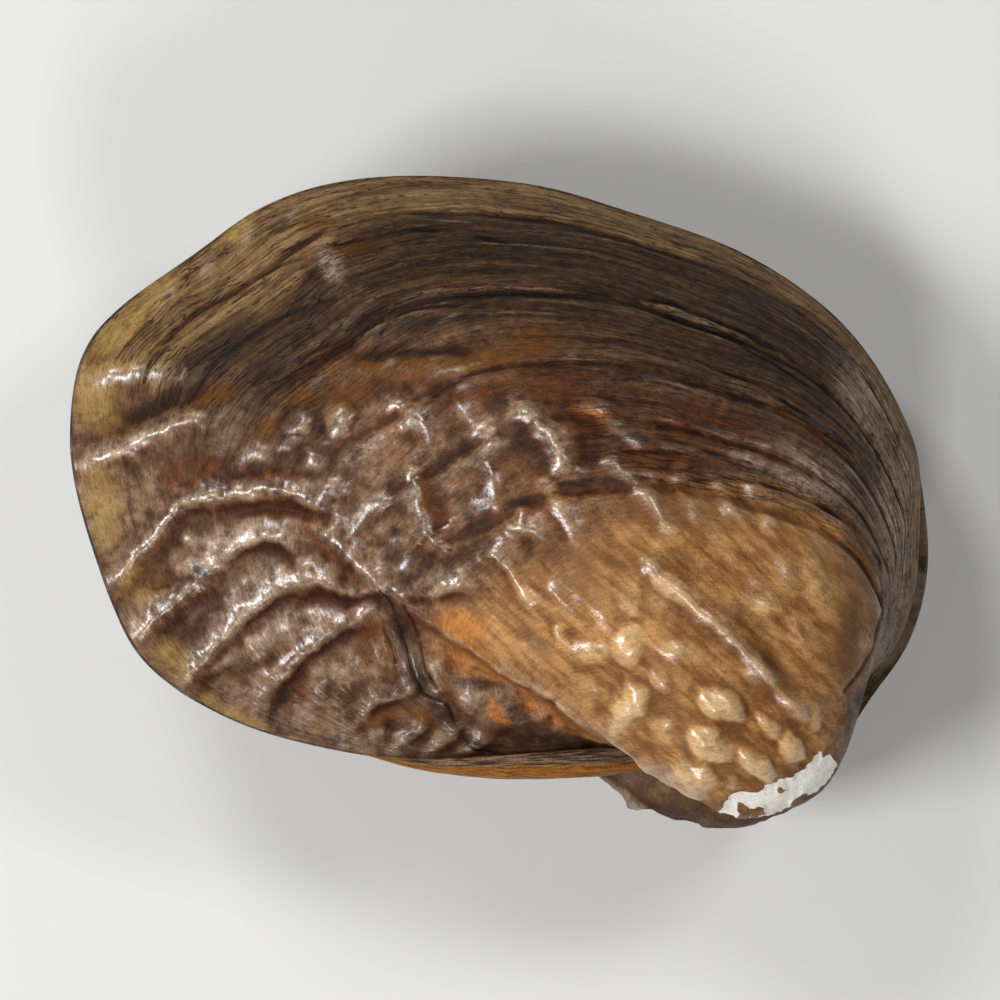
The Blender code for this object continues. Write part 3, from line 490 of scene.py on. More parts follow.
def beside_line(x, y, line):
    """Distance to a line, and the side: 1 on its upper left, -1 on its lower right."""
    best = np.full(x.shape, np.inf)
    lean = np.zeros(x.shape)
    for (ax, ay), (bx, by) in zip(line[:-1], line[1:]):
        dx, dy = bx - ax, by - ay
        t = np.clip(((x - ax) * dx + (y - ay) * dy) / (dx * dx + dy * dy), 0.0, 1.0)
        off_x, off_y = x - ax - t * dx, y - ay - t * dy
        apart = np.hypot(off_x, off_y)
        flip = 1.0 if dy * STEEP_SIDE[0] - dx * STEEP_SIDE[1] < 0 else -1.0
        side = flip * (off_x * -dy + off_y * dx) / np.maximum(apart * math.hypot(dx, dy), 1e-6)
        lean = np.where(apart < best, side, lean)
        best = np.minimum(best, apart)
    return best, lean


def depth_inside(x, y, outline):
    """Distance to an outline, positive inside it and negative outside."""
    inside = np.zeros(x.shape, dtype=bool)
    closed = outline + outline[:1]
    for (ax, ay), (bx, by) in zip(closed[:-1], closed[1:]):
        crosses = (ay > y) != (by > y)
        meets = ax + (bx - ax) * (y - ay) / (by - ay if by != ay else 1.0)
        inside ^= crosses & (x < meets)
    apart = beside_line(x, y, closed)[0]
    return np.where(inside, apart, -apart)


def oval_place(x, y, middle_x, middle_y, length, width, turn):
    """Place in an oval's own axes, 1 at its outline."""
    c, s = math.cos(math.radians(turn)), math.sin(math.radians(turn))
    along = ((x - middle_x) * c + (y - middle_y) * s) / length
    return along, (-(x - middle_x) * s + (y - middle_y) * c) / width


def patches(x, y, ovals):
    """Soft mask of oval patches."""
    mask = np.zeros(x.shape)
    for oval in ovals:
        u, v = oval_place(x, y, *oval)
        mask = np.maximum(mask, 1.0 - smoothstep(0.25, 1.45, np.hypot(u, v)))
    return mask


def layers_of_skin(line, arc, period, seed):
    """Overlapping growth layers: each rises a little and ends in a small step."""
    wave = line / period + 0.9 * rough(arc / 16.0, line / 7.0, seed, 3)
    number = np.floor(wave)
    part = wave - number
    strength = np.clip(0.45 + 0.75 * wander(number * 1.7 + 0.5, arc / 8.0, seed + 9), 0.0, 1.0)
    return strength * np.minimum(part / 0.8, (1.0 - part) / 0.2)


def soften(values, rounds):
    """Values of a grid blurred by repeated averaging with their neighbours."""
    for _ in range(rounds):
        values = np.pad(values, 1, mode="edge")
        values = (values[:-2, 1:-1] + values[2:, 1:-1] + values[1:-1, :-2] + values[1:-1, 2:]
                  + 2.0 * values[1:-1, 1:-1]) / 6.0
    return values


def shape_valve(setback, drift, cracks, seed):
    """Plain grid, normals, height of the sculpture and the masks that the material uses."""
    plain, around, size = growth_surface(setback)
    normal = outward_normals(plain)
    seen = to_rest(plain + [0.0, 0.0, EDGE_THICKNESS])
    facing = to_rest(normal)[..., 2]
    around_grid, size_grid = np.broadcast_arrays(around[:, None], size[None, :])
    line = size_grid * LINE_LENGTH
    arc = around_grid * EDGE_LENGTH * size_grid
    x, y = seen[..., 0], seen[..., 1]
    if drift:
        x, y = (x + drift * np.sin(y / 17.0 * math.pi), y + drift * np.sin(x / 17.0 * math.pi))
    near_x = x + 0.25 * rough(x / 2.2, y / 2.2, seed + 1, 3)
    near_y = y + 0.25 * rough(x / 2.2, y / 2.2, seed + 2, 3)

    inside = depth_inside(near_x, near_y, GOLD_OUTLINE) + 0.8 * rough(x / 2.5, y / 2.5, seed + 10)
    soft = 1.0 + 2.2 * smoothstep(0.36, 0.50, around_grid)
    gold = smoothstep(-1.0, 1.0, inside / soft)
    ragged = size_grid + 0.012 * rough(arc / 5.0, line / 5.0, seed + 5, 3)
    folds = smoothstep(0.60, 0.68, around_grid)
    between = smoothstep(0.552, 0.565, ragged) * (1.0 - smoothstep(0.42, 0.56, around_grid))
    band = smoothstep(0.66, 0.80, ragged - 0.03 * smoothstep(0.4, 0.6, around_grid))
    band = band * (1.0 - smoothstep(0.62, 0.74, around_grid))
    margin = smoothstep(0.922, 0.946, ragged + 0.045 * smoothstep(0.52, 0.60, around_grid))
    margin = margin * (1.0 - smoothstep(0.655, 0.72, around_grid))

    raised = np.zeros(x.shape)
    sunken = np.zeros(x.shape)
    painted_lee_shade = np.zeros(x.shape)
    for rise, half_width, crest_line in RIDGES:
        apart, lean = beside_line(near_x, near_y, crest_line)
        length = np.linalg.norm(np.diff(crest_line, axis=0), axis=1).sum()
        crisp = smoothstep(*CREST_LENGTH, length)
        if rise > 0:
            rise, half_width = rise * (0.70 + 0.30 * crisp), half_width * (1.35 - 0.35 * crisp)
        # Painted shade: a dark red-brown strip along each ridge's steep lower-right side, the side
        # turned away from the light; partly red-brown skin too.
        below = np.clip(-lean, 0.0, 1.0) * np.exp(-((apart / half_width - 0.95) / 0.55) ** 2)
        apart = apart / (half_width * (1.0 + STEEPNESS * lean))
        crest = np.exp(-(apart / (1.0 + (CREST_WIDTH - 1.0) * crisp)) ** (2.0 - 0.30 * crisp))
        swelling = np.exp(-(apart / SWELLING_WIDTH) ** 2)
        share = SWELLING_SHARE * (0.4 + 0.6 * crisp)
        bump = (1.0 - share) * crest + share * swelling
        if rise > 0:
            raised += (RIDGE_STRENGTH * rise * bump) ** RIDGE_BLEND
            painted_lee_shade = np.maximum(painted_lee_shade, min(rise, 1.0) * below)
        else:
            sunken += rise * bump
    knob_tops = np.zeros(x.shape)
    wavy_x = near_x + 0.5 * rough(x / 1.3, y / 1.3, seed + 12, 2)
    wavy_y = near_y + 0.5 * rough(x / 1.3, y / 1.3, seed + 14, 2)
    for knob_x, knob_y, length, width, turn, rise in KNOBS:
        across, up = oval_place(wavy_x, wavy_y, knob_x, knob_y, length, width, turn)
        top = np.clip(1.0 - across ** 2 - up ** 2, 0.0, 1.0)
        raised += (0.75 * rise * top ** 1.2) ** RIDGE_BLEND
        knob_tops = np.maximum(knob_tops, min(rise, 1.0) * gold * smoothstep(0.0, 0.7, top))
    ridge = raised ** (1.0 / RIDGE_BLEND)
    lumpy = 1.0 + 0.28 * rough(x / 1.4, y / 1.4, seed + 3, 3)
    facing_fade = smoothstep(0.05, 0.35, facing)
    height = (ridge * lumpy + sunken) * facing_fade

    groove_fade = smoothstep(0.05, 0.18, around_grid) * smoothstep(0.0, 0.08, 1.0 - around_grid)
    for stop, depth, half_width in GROWTH_STOPS:
        warped = size_grid - stop + 0.004 * rough(arc / 12.0, line / 30.0, seed + 4, 3)
        height -= groove_fade * (1.0 - 0.85 * folds) * depth * np.exp(-(warped / half_width) ** 2)

    flakes = 0.05 + 0.13 * band + 0.09 * between + 0.02 * margin
    layers = layers_of_skin(line, arc, 2.4, seed + 20) + 0.7 * layers_of_skin(line, arc, 1.1, seed + 30)
    height += (layers - 0.7) * flakes * (0.35 + 0.65 * groove_fade)
    glossy = (1.0 - band) * smoothstep(0.2, 0.35, around_grid)
    height += (0.02 + 0.05 * glossy * (1.0 - 0.5 * gold)) * rough(x / 1.2, y / 1.2, seed + 6, 3)
    height += 0.04 * glossy * rough(line / 0.9, arc / 3.5, seed + 11, 2)
    height += 0.022 * (glossy + between) * rough(x / 0.55, y / 0.55, seed + 16, 2)
    along_ridge, across_ridge = 0.74 * x - 0.67 * y, 0.67 * x + 0.74 * y
    height += 0.13 * gold * rough(along_ridge / 4.0, across_ridge / 1.2, seed + 13, 3)
    height += 0.14 * rough(x / 6.0, y / 6.0, seed + 7, 2)
    edges = np.minimum(around_grid, 1.0 - around_grid)
    height *= smoothstep(0.0, 0.04, edges) * smoothstep(0.08, 0.2, size_grid)
    height *= 1.0 - 0.7 * smoothstep(0.94, 1.0, size_grid)

    split = np.zeros(x.shape)
    for depth, half_width, crack_line in cracks:
        gap = np.exp(-(beside_line(near_x, near_y, crack_line)[0] / half_width) ** 2)
        gap = gap * np.clip(0.8 + 0.8 * wander(x / 1.7, y / 1.7, seed + 8), 0.0, 1.2) * facing_fade
        height -= depth * gap
        split = np.maximum(split, gap)
    cavity = height - soften(height, 40)

    spots = {name: patches(near_x, near_y, ovals) for name, ovals in PATCHES.items()}
    # The tops of the knobs in the gold zone are painted pale as well.
    spots["pale"] = np.maximum(spots["pale"] * 0.6, knob_tops * facing_fade)
    masks = {
        "lines": (line, arc, size_grid),
        "zones": (gold, between, band),
        "rim": (margin, folds, cavity),
        "patches": (spots["olive"], spots["amber"], spots["rust"]),
        "tints": (spots["pale"], spots["orange"], spots["dark_and_shade"]),
        "shades": (spots["umber_and_shade"], spots["grey"], painted_lee_shade * facing_fade * (1.0 - band)),
        "marks": (height - soften(height, 8), split, np.zeros(x.shape)),
    }
    return plain, normal, height, masks


def quads_between(index):
    """Faces between the neighbours of a grid of points."""
    corners = [index[:-1, :-1], index[1:, :-1], index[1:, 1:], index[:-1, 1:]]
    return np.stack(corners, axis=-1).reshape(-1, 4)


def make_piece(name, points, faces, layers, weld):
    """Object of a closed mesh, with named values at its points."""
    mesh = bpy.data.meshes.new(name)
    mesh.from_pydata(points.reshape(-1, 3).tolist(), [], faces)
    for label, values in layers.items():
        layer = mesh.attributes.new(label, "FLOAT_VECTOR", "POINT")
        layer.data.foreach_set("vector", values.reshape(-1).astype(np.float32))
    bm = bmesh.new()
    bm.from_mesh(mesh)
    if weld:
        bmesh.ops.remove_doubles(bm, verts=bm.verts, dist=1e-7)
    bmesh.ops.recalc_face_normals(bm, faces=bm.faces)
    bm.to_mesh(mesh)
    bm.free()
    mesh.shade_smooth()
    piece = bpy.data.objects.new(name, mesh)
    bpy.context.scene.collection.objects.link(piece)
    return piece


def close_valve(name, grid, masks, side):
    """Mesh of a valve in the resting pose: outside, rounded lip and the flat where the valves meet."""
    towards_middle = np.array(LIP_CENTRE) - grid[:, -1, :2]
    towards_middle /= np.linalg.norm(towards_middle, axis=1)[:, None]
    lips = []
    places = np.linspace(0.0, 1.0, len(grid))
    off_hinge = smoothstep(0.0, 0.06, np.minimum(places, 1.0 - places))[:, None]
    for inward, level in LIP_STEPS:
        lip = grid[:, -1, :].copy()
        lip[:, :2] += towards_middle * inward * off_hinge
        lip[:, 2] = side * (VALVE_GAP / 2 + level * (np.abs(lip[:, 2]) - VALVE_GAP / 2))
        lips.append(lip)
    whole = np.concatenate([grid] + [lip[:, None, :] for lip in lips], axis=1)
    world_grid = to_rest(whole) * MM + np.array(PICTURE_MIDDLE)
    world_grid = np.clip(world_grid, np.array(cad_box[0]), np.array(cad_box[1]))
    columns, all_rows = whole.shape[:2]
    index = np.arange(columns * all_rows).reshape(columns, all_rows)
    quads = quads_between(index)
    if side < 0:
        quads = quads[:, ::-1]
    faces = quads.tolist()
    flat = index[:, -1].tolist()
    first = index[:, 0].tolist()
    wall = [flat[0], flat[-1]] + index[-1, :-1][::-1].tolist() + index[0, :-1].tolist()
    faces += [flat, first, wall]
    layers = {}
    for label, parts in masks.items():
        values = np.stack(parts, axis=-1).astype(float)
        layers[label] = np.concatenate([values] + [values[:, -1:, :]] * len(lips), axis=1)
    return make_piece(name, world_grid, faces, layers, weld=True)


plain, normal, height, masks = shape_valve(EDGE_SETBACK, 0.0, CRACKS, 100)
seen = to_rest(plain + [0.0, 0.0, EDGE_THICKNESS])
down_side = np.clip(1.5 - to_rest(normal)[..., 2], 0.5, 1.5)
worn_x = seen[..., 0] + 0.45 * down_side * rough(seen[..., 2] / 1.1, seen[..., 0] / 1.6, 79, 3)
worn_y = seen[..., 1] + 0.30 * down_side * rough(seen[..., 2] / 0.9, seen[..., 0] / 1.6, 83, 3)
worn = depth_inside(worn_x, worn_y, WORN_OUTLINE)
lowering = seen[..., 2][worn > 0].max() - seen[..., 2]
lower_end = 0.5 * (WORN_REACH - lowering) + 1.3 * rough(seen[..., 0] / 2.4, seen[..., 2] / 2.4, 81, 4)
worn = np.minimum(worn, lower_end)
for reach, scrap in WORN_SCRAPS:
    left_over = depth_inside(worn_x, worn_y, scrap)
    below_top = lowering - lowering[left_over > 0].min()
    worn = np.minimum(worn, np.maximum(below_top - reach, 0.0) - left_over)
worn += 0.10 * rough(seen[..., 0] / 0.5, seen[..., 1] / 0.5, 77, 3)
height -= WORN_DEPTH * smoothstep(-0.05, 0.15, worn)
masks["marks"] = masks["marks"][:2] + (np.clip(worn * 0.5 + 0.5, 0.0, 1.0),)
left_grid = plain + normal * height[..., None] + [0.0, 0.0, EDGE_THICKNESS]
left_shell = close_valve("left_valve_shell", left_grid, masks, 1)


def new_group(name, inputs, outputs):
    """Empty shader node group with the named sockets."""
    group = bpy.data.node_groups.new(name, "ShaderNodeTree")
    for label, kind in inputs:
        group.interface.new_socket(label, in_out="INPUT", socket_type=kind)
    for label, kind in outputs:
        group.interface.new_socket(label, in_out="OUTPUT", socket_type=kind)
    return group, group.nodes.new("NodeGroupInput"), group.nodes.new("NodeGroupOutput")


def math_node(tree, operation, a, b=None, clamp=False):
    """Math node fed by sockets or numbers."""
    node = tree.nodes.new("ShaderNodeMath")
    node.operation = operation
    node.use_clamp = clamp
    for socket, value in zip(node.inputs, (a, b)):
        if isinstance(value, bpy.types.NodeSocket):
            tree.links.new(value, socket)
        elif value is not None:
            socket.default_value = value
    return node.outputs[0]


def times(tree, a, b):
    """Product of two values."""
    return math_node(tree, "MULTIPLY", a, b)


def plus(tree, a, b, clamp=False):
    """Sum of two values."""
    return math_node(tree, "ADD", a, b, clamp)


def larger(tree, a, b):
    """The larger one of two values."""
    return math_node(tree, "MAXIMUM", a, b)


def mix_colour(tree, factor, a, b, blend="MIX"):
    """Colour mix fed by sockets or colours."""
    node = tree.nodes.new("ShaderNodeMix")
    node.data_type = "RGBA"
    node.blend_type = blend
    for socket, value in ((node.inputs[0], factor), (node.inputs[6], a), (node.inputs[7], b)):
        if isinstance(value, bpy.types.NodeSocket):
            tree.links.new(value, socket)
        elif isinstance(value, tuple):
            socket.default_value = (*value, 1.0)
        else:
            socket.default_value = value
    return node.outputs[2]


def remap(tree, value, low, high, new_low=0.0, new_high=1.0, smooth=True):
    """Move a range of values to another one."""
    node = tree.nodes.new("ShaderNodeMapRange")
    node.interpolation_type = "SMOOTHSTEP" if smooth else "LINEAR"
    tree.links.new(value, node.inputs["Value"])
    limits = {"From Min": low, "From Max": high, "To Min": new_low, "To Max": new_high}
    for label, number in limits.items():
        node.inputs[label].default_value = number
    return node.outputs["Result"]


def noise(tree, vector, scale, detail, roughness):
    """Noise texture over a vector."""
    node = tree.nodes.new("ShaderNodeTexNoise")
    node.noise_dimensions = "3D"
    tree.links.new(vector, node.inputs["Vector"])
    node.inputs["Scale"].default_value = scale
    node.inputs["Detail"].default_value = detail
    node.inputs["Roughness"].default_value = roughness
    return node.outputs["Fac"]


def stretch(tree, vector, amounts):
    """Vector times a fixed triple."""
    node = tree.nodes.new("ShaderNodeVectorMath")
    node.operation = "MULTIPLY"
    tree.links.new(vector, node.inputs[0])
    node.inputs[1].default_value = amounts
    return node.outputs["Vector"]


def split_vector(tree, socket):
    """The three numbers of a vector."""
    node = tree.nodes.new("ShaderNodeSeparateXYZ")
    tree.links.new(socket, node.inputs[0])
    return node.outputs[0], node.outputs[1], node.outputs[2]


def grey(tree, value):
    """Grey of the given brightness."""
    node = tree.nodes.new("ShaderNodeCombineColor")
    for socket in node.inputs:
        tree.links.new(value, socket)
    return node.outputs[0]


def near_middle(tree, value, half_width):
    """Thin lines where a noise passes through its middle."""
    off = math_node(tree, "ABSOLUTE", math_node(tree, "SUBTRACT", value, 0.5))
    return remap(tree, off, 0.0, half_width, 1.0, 0.0)


MASKS = ("Lines", "Zones", "Rim", "Patches", "Tints", "Shades", "Marks")
skin, skin_in, skin_out = new_group(
    "mussel_skin", [("Place", "NodeSocketVector")] + [(name, "NodeSocketVector") for name in MASKS]
    + [("Tone", "NodeSocketFloat")],
    [("Colour", "NodeSocketColor"), ("Roughness", "NodeSocketFloat"), ("Coat", "NodeSocketFloat"),
     ("Height", "NodeSocketFloat")])
place = skin_in.outputs["Place"]
line, arc, size = split_vector(skin, skin_in.outputs["Lines"])
gold, between, band = split_vector(skin, skin_in.outputs["Zones"])
margin, folds, cavity = split_vector(skin, skin_in.outputs["Rim"])
olive, amber, rust = split_vector(skin, skin_in.outputs["Patches"])
pale, orange, dark_and_shade = split_vector(skin, skin_in.outputs["Tints"])
umber_and_shade, grey_and_sheen, painted_lee_shade = split_vector(skin, skin_in.outputs["Shades"])
crisp, crack, bare = split_vector(skin, skin_in.outputs["Marks"])
cloud = noise(skin, place, 330.0, 4.0, 0.6)
blotch = noise(skin, place, 1100.0, 3.0, 0.6)
grain = noise(skin, place, 5000.0, 2.0, 0.6)
bend = skin.nodes.new("ShaderNodeCombineXYZ")
skin.links.new(plus(skin, line, times(skin, cloud, 0.45)), bend.inputs[0])
skin.links.new(arc, bend.inputs[1])
run = bend.outputs[0]
fine = noise(skin, stretch(skin, run, (6.0, 0.28, 0.0)), 1.0, 4.0, 0.65)
turned = skin.nodes.new("ShaderNodeVectorRotate")
turned.rotation_type = "Z_AXIS"
turned.inputs["Angle"].default_value = math.radians(42.0)
skin.links.new(place, turned.inputs["Vector"])
slant = noise(skin, stretch(skin, turned.outputs["Vector"], (260.0, 1300.0, 600.0)), 1.0, 4.0, 0.62)
speckle = noise(skin, stretch(skin, run, (4.8, 1.0, 0.0)), 1.0, 4.0, 0.72)
streak = noise(skin, stretch(skin, run, (1.9, 0.07, 0.0)), 1.0, 4.0, 0.6)
hair = near_middle(skin, noise(skin, stretch(skin, run, (2.0, 0.09, 0.0)), 1.0, 3.0, 0.55), 0.020)
split = near_middle(skin, noise(skin, stretch(skin, run, (0.8, 0.05, 0.0)), 1.0, 3.0, 0.6), 0.012)

soft_cloud = remap(skin, cloud, 0.36, 0.64)
colour = mix_colour(skin, soft_cloud, (0.060, 0.024, 0.008), (0.200, 0.104, 0.052))
fold_colour = mix_colour(skin, soft_cloud, (0.075, 0.032, 0.013), (0.235, 0.146, 0.088))
colour = mix_colour(skin, folds, colour, fold_colour)
streaky = remap(skin, streak, 0.36, 0.64)
between_colour = mix_colour(skin, streaky, (0.045, 0.016, 0.005), (0.130, 0.060, 0.025))
colour = mix_colour(skin, between, colour, between_colour)
streaky = remap(skin, streak, 0.34, 0.68)
band_colour = mix_colour(skin, streaky, (0.026, 0.011, 0.003), (0.086, 0.045, 0.019))
colour = mix_colour(skin, band, colour, band_colour)
patchy = plus(skin, times(skin, streak, 0.8), times(skin, cloud, 0.2))
patchy = remap(skin, patchy, 0.38, 0.62)
margin_colour = mix_colour(skin, patchy, (0.120, 0.064, 0.022), (0.250, 0.150, 0.064))
colour = mix_colour(skin, margin, colour, margin_colour)
slanting = remap(skin, slant, 0.36, 0.64)
gold_colour = mix_colour(skin, slanting, (0.245, 0.104, 0.027), (0.445, 0.228, 0.080))
colour = mix_colour(skin, gold, colour, gold_colour)
# Tints of the patches, with how strongly each one covers; some are partly painted shade and highlight,
# as noted
tints = [
    # amber skin, partly painted shade under knobs and crests
    (amber, 0.94, (0.125, 0.044, 0.003)),
    # umber skin, partly painted shade between knobs
    (umber_and_shade, 0.80, (0.185, 0.084, 0.030)),
    # grey skin, partly painted sheen and highlights
    (grey_and_sheen, 0.80, (0.350, 0.255, 0.185)),
    (orange, 0.70, (0.520, 0.185, 0.034)),
    (rust, 0.90, (0.100, 0.028, 0.005)),
    # painted shade under the ridges, partly red-brown skin
    (painted_lee_shade, 0.75, (0.115, 0.035, 0.009)),
    (olive, 0.80, (0.325, 0.200, 0.058)),
    # pale skin, partly painted highlight and light
    (pale, 0.50, (0.790, 0.520, 0.230)),
    # dark skin, partly painted shade in recesses
    (dark_and_shade, 0.85, (0.020, 0.010, 0.006)),
]
for mask, strength, tint in tints:
    broken = times(skin, mask, remap(skin, blotch, 0.28, 0.52, 0.45, 1.0))
    colour = mix_colour(skin, times(skin, broken, strength), colour, tint)
# Painted shade: the colour is darkened in the hollows of the relief, less so in the gold zone.
hollow_shade = remap(skin, cavity, -0.16, 0.02, 1.0, 0.0)
hollow_shade = times(skin, hollow_shade, remap(skin, gold, 0.0, 1.0, 0.78, 0.45))
colour = mix_colour(skin, hollow_shade, colour, (0.36, 0.22, 0.12), "MULTIPLY")
# Painted highlight: pale colour along the convex crests, partly standing for rubbed wear.
crest_highlight_and_wear = remap(skin, cavity, 0.16, 0.50)
crest_highlight_and_wear = times(skin, crest_highlight_and_wear, remap(skin, blotch, 0.35, 0.6, 0.2, 1.0))
colour = mix_colour(skin, times(skin, crest_highlight_and_wear, 0.22), colour, (0.62, 0.44, 0.27))
# Painted shade at the foot of small steps in the relief.
edge_shade = remap(skin, crisp, -0.070, -0.010, 0.45, 0.0)
edge_shade = times(skin, edge_shade, remap(skin, gold, 0.0, 1.0, 1.0, 0.3))
colour = mix_colour(skin, edge_shade, colour, (0.35, 0.22, 0.14), "MULTIPLY")
# Painted highlight: paler colour on the sharp tops of small bumps.
colour = mix_colour(skin, remap(skin, crisp, 0.035, 0.120, 0.0, 0.22), colour, (0.66, 0.48, 0.30))
mottled = mix_colour(skin, remap(skin, blotch, 0.30, 0.66), (0.70, 0.60, 0.52), (1.20, 1.20, 1.20))
calm = larger(skin, gold, times(skin, larger(skin, amber, olive), 0.9))
calm = larger(skin, calm, times(skin, margin, 0.6))
colour = mix_colour(skin, remap(skin, calm, 0.0, 1.0, 1.0, 0.30), colour, mottled, "MULTIPLY")
grained = grey(skin, remap(skin, grain, 0.25, 0.75, 0.80, 1.20))
colour = mix_colour(skin, remap(skin, calm, 0.0, 1.0, 1.0, 0.5), colour, grained, "MULTIPLY")
matte = larger(skin, band, times(skin, margin, 0.8))
matte = larger(skin, matte, times(skin, olive, 0.7))
matte = times(skin, matte, remap(skin, grey_and_sheen, 0.0, 1.0, 1.0, 0.3))
flaky = larger(skin, larger(skin, band, margin), between)
flaky = times(skin, flaky, remap(skin, olive, 0.0, 1.0, 1.0, 0.3))
long_lines = remap(skin, fine, 0.30, 0.70, 0.78, 1.22)
flecks = remap(skin, speckle, 0.28, 0.72, 0.66, 1.36)
stripy = remap(skin, flaky, 0.0, 1.0, 0.15, 0.60)
stripy = larger(skin, stripy, times(skin, gold, 0.6))
shade = mix_colour(skin, stripy, grey(skin, flecks), grey(skin, long_lines))
colour = mix_colour(skin, remap(skin, gold, 0.0, 1.0, 1.0, 0.9), colour, shade, "MULTIPLY")
lines = times(skin, hair, remap(skin, flaky, 0.0, 1.0, 0.05, 0.85))
wide_lines = times(skin, split, remap(skin, flaky, 0.0, 1.0, 0.15, 1.0))
lines = larger(skin, lines, wide_lines)
colour = mix_colour(skin, lines, colour, (0.22, 0.17, 0.14), "MULTIPLY")
colour = mix_colour(skin, times(skin, crack, 0.8), colour, (0.010, 0.005, 0.002))
is_bare = remap(skin, bare, 0.485, 0.515)
bare_colour = mix_colour(skin, remap(skin, blotch, 0.3, 0.6), (0.86, 0.79, 0.66), (0.94, 0.92, 0.86))
colour = mix_colour(skin, is_bare, colour, bare_colour)
colour = mix_colour(skin, 1.0, colour, grey(skin, skin_in.outputs["Tone"]), "MULTIPLY")
dull = larger(skin, matte, times(skin, is_bare, 0.7))
polish = remap(skin, cavity, -0.04, 0.14)
polish = times(skin, polish, remap(skin, dull, 0.0, 0.8, 1.0, 0.04))
scuffed = plus(skin, times(skin, speckle, 0.5), times(skin, grain, 0.5))
dulled = larger(skin, crack, amber)
polish = times(skin, polish, remap(skin, dulled, 0.0, 1.0, 1.0, 0.12))
coat = times(skin, polish, remap(skin, scuffed, 0.40, 0.56, 0.20, 1.0))
roughness = remap(skin, polish, 0.0, 1.0, 0.56, 0.42)
roughness = plus(skin, roughness, remap(skin, speckle, 0.3, 0.7, 0.10, -0.06), clamp=True)
relief = plus(skin, times(skin, fine, 0.6), times(skin, grain, 0.70))
relief = plus(skin, relief, times(skin, speckle, 0.9))
relief = plus(skin, relief, times(skin, blotch, 0.6))
relief = math_node(skin, "SUBTRACT", relief, times(skin, lines, 0.9))
for label, socket in (("Colour", colour), ("Roughness", roughness), ("Coat", coat), ("Height", relief)):
    skin.links.new(socket, skin_out.inputs[label])


def skin_material(name, tone):
    """Horny brown skin over shell; the mesh's masks say what lies where."""
    mat = bpy.data.materials.new(name)
    mat.use_nodes = True
    tree = mat.node_tree
    shader = tree.nodes["Principled BSDF"]
    node = tree.nodes.new("ShaderNodeGroup")
    node.node_tree = skin
    for label in MASKS:
        attribute = tree.nodes.new("ShaderNodeAttribute")
        attribute.attribute_type = "GEOMETRY"
        attribute.attribute_name = label.lower()
        tree.links.new(attribute.outputs["Vector"], node.inputs[label])
    tree.links.new(tree.nodes.new("ShaderNodeTexCoord").outputs["Object"], node.inputs["Place"])
    node.inputs["Tone"].default_value = tone
    bump = tree.nodes.new("ShaderNodeBump")
    bump.inputs["Distance"].default_value = 0.00010
    bump.inputs["Strength"].default_value = 1.0
    tree.links.new(node.outputs["Height"], bump.inputs["Height"])
    tree.links.new(bump.outputs["Normal"], shader.inputs["Normal"])
    tree.links.new(node.outputs["Colour"], shader.inputs["Base Color"])
    tree.links.new(node.outputs["Roughness"], shader.inputs["Roughness"])
    tree.links.new(node.outputs["Coat"], shader.inputs["Coat Weight"])
    shader.inputs["Coat Roughness"].default_value = 0.29
    shader.inputs["Coat IOR"].default_value = 1.85
    shader.inputs["Specular IOR Level"].default_value = 0.20
    return mat


left_shell.data.materials.append(skin_material("left_skin", 1.0))
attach(left_shell, "root")
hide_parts("left_valve")

# Right valve: the left one's mirror twin, underneath. Its edge shows along the front and its beak
# below the left beak. Three low swellings of it carry the shell on the table.
RIGHT_DRIFT = 1.6
RESTING_PLACES = [(3.8, -0.6), (6.8, -14.0), (20.5, -6.6)]
WORN_LEVEL = 0.5
RESTING_CLEARANCE = 0.12
RESTING_RISE = 0.45
RESTING_WIDTH = 4.0
RESTING_FADE = (0.2, 0.7)


def wear_and_rest(plain, normal, height):
    """Relief worn to one level and swollen at the places that the shell rests on."""
    rested = to_rest(plain * [1, 1, -1])
    down = -to_rest(normal * [1, 1, -1])[..., 2]
    level = rested[..., 2].min() - WORN_LEVEL
    room = (rested[..., 2] - level) / np.maximum(down, RESTING_FADE[0])
    worn = np.minimum(height, room)
    lift = np.zeros(down.shape)
    for x, y in RESTING_PLACES:
        apart = np.hypot(rested[..., 0] - x, rested[..., 1] - y)
        underneath = np.where(down > RESTING_FADE[1], apart, np.inf)
        nearest = np.unravel_index(underneath.argmin(), apart.shape)
        rise = room[nearest] + RESTING_RISE - worn[nearest]
        lift = np.maximum(lift, rise * np.exp(-(apart / RESTING_WIDTH) ** 2))
    return np.minimum(worn + lift * smoothstep(*RESTING_FADE, down), room + RESTING_CLEARANCE)


plain, normal, height, masks = shape_valve(0.0, RIGHT_DRIFT, [], 500)
beak_part = 1.0 - smoothstep(0.36, 0.50, masks["lines"][2])
seen = to_rest(plain)
height += beak_part * 0.55 * np.clip(rough(seen[..., 0] / 1.4, seen[..., 1] / 1.4, 540, 4), -1.0, 0.35)
masks["shades"] = (np.maximum(masks["shades"][0], beak_part),) + masks["shades"][1:]
masks["zones"] = (masks["zones"][0] * (1.0 - 0.5 * beak_part),) + masks["zones"][1:]
height = wear_and_rest(plain, normal, height)
right_grid = (plain + normal * height[..., None] + [0.0, 0.0, EDGE_THICKNESS]) * [1, 1, -1]
right_shell = close_valve("right_valve_shell", right_grid, masks, -1)
# The right valve's skin is the left one's darkened to 0.45: painted shade for the valve lying
# underneath.
right_shell.data.materials.append(skin_material("right_skin", 0.45))
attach(right_shell, "root")
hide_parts("right_valve")

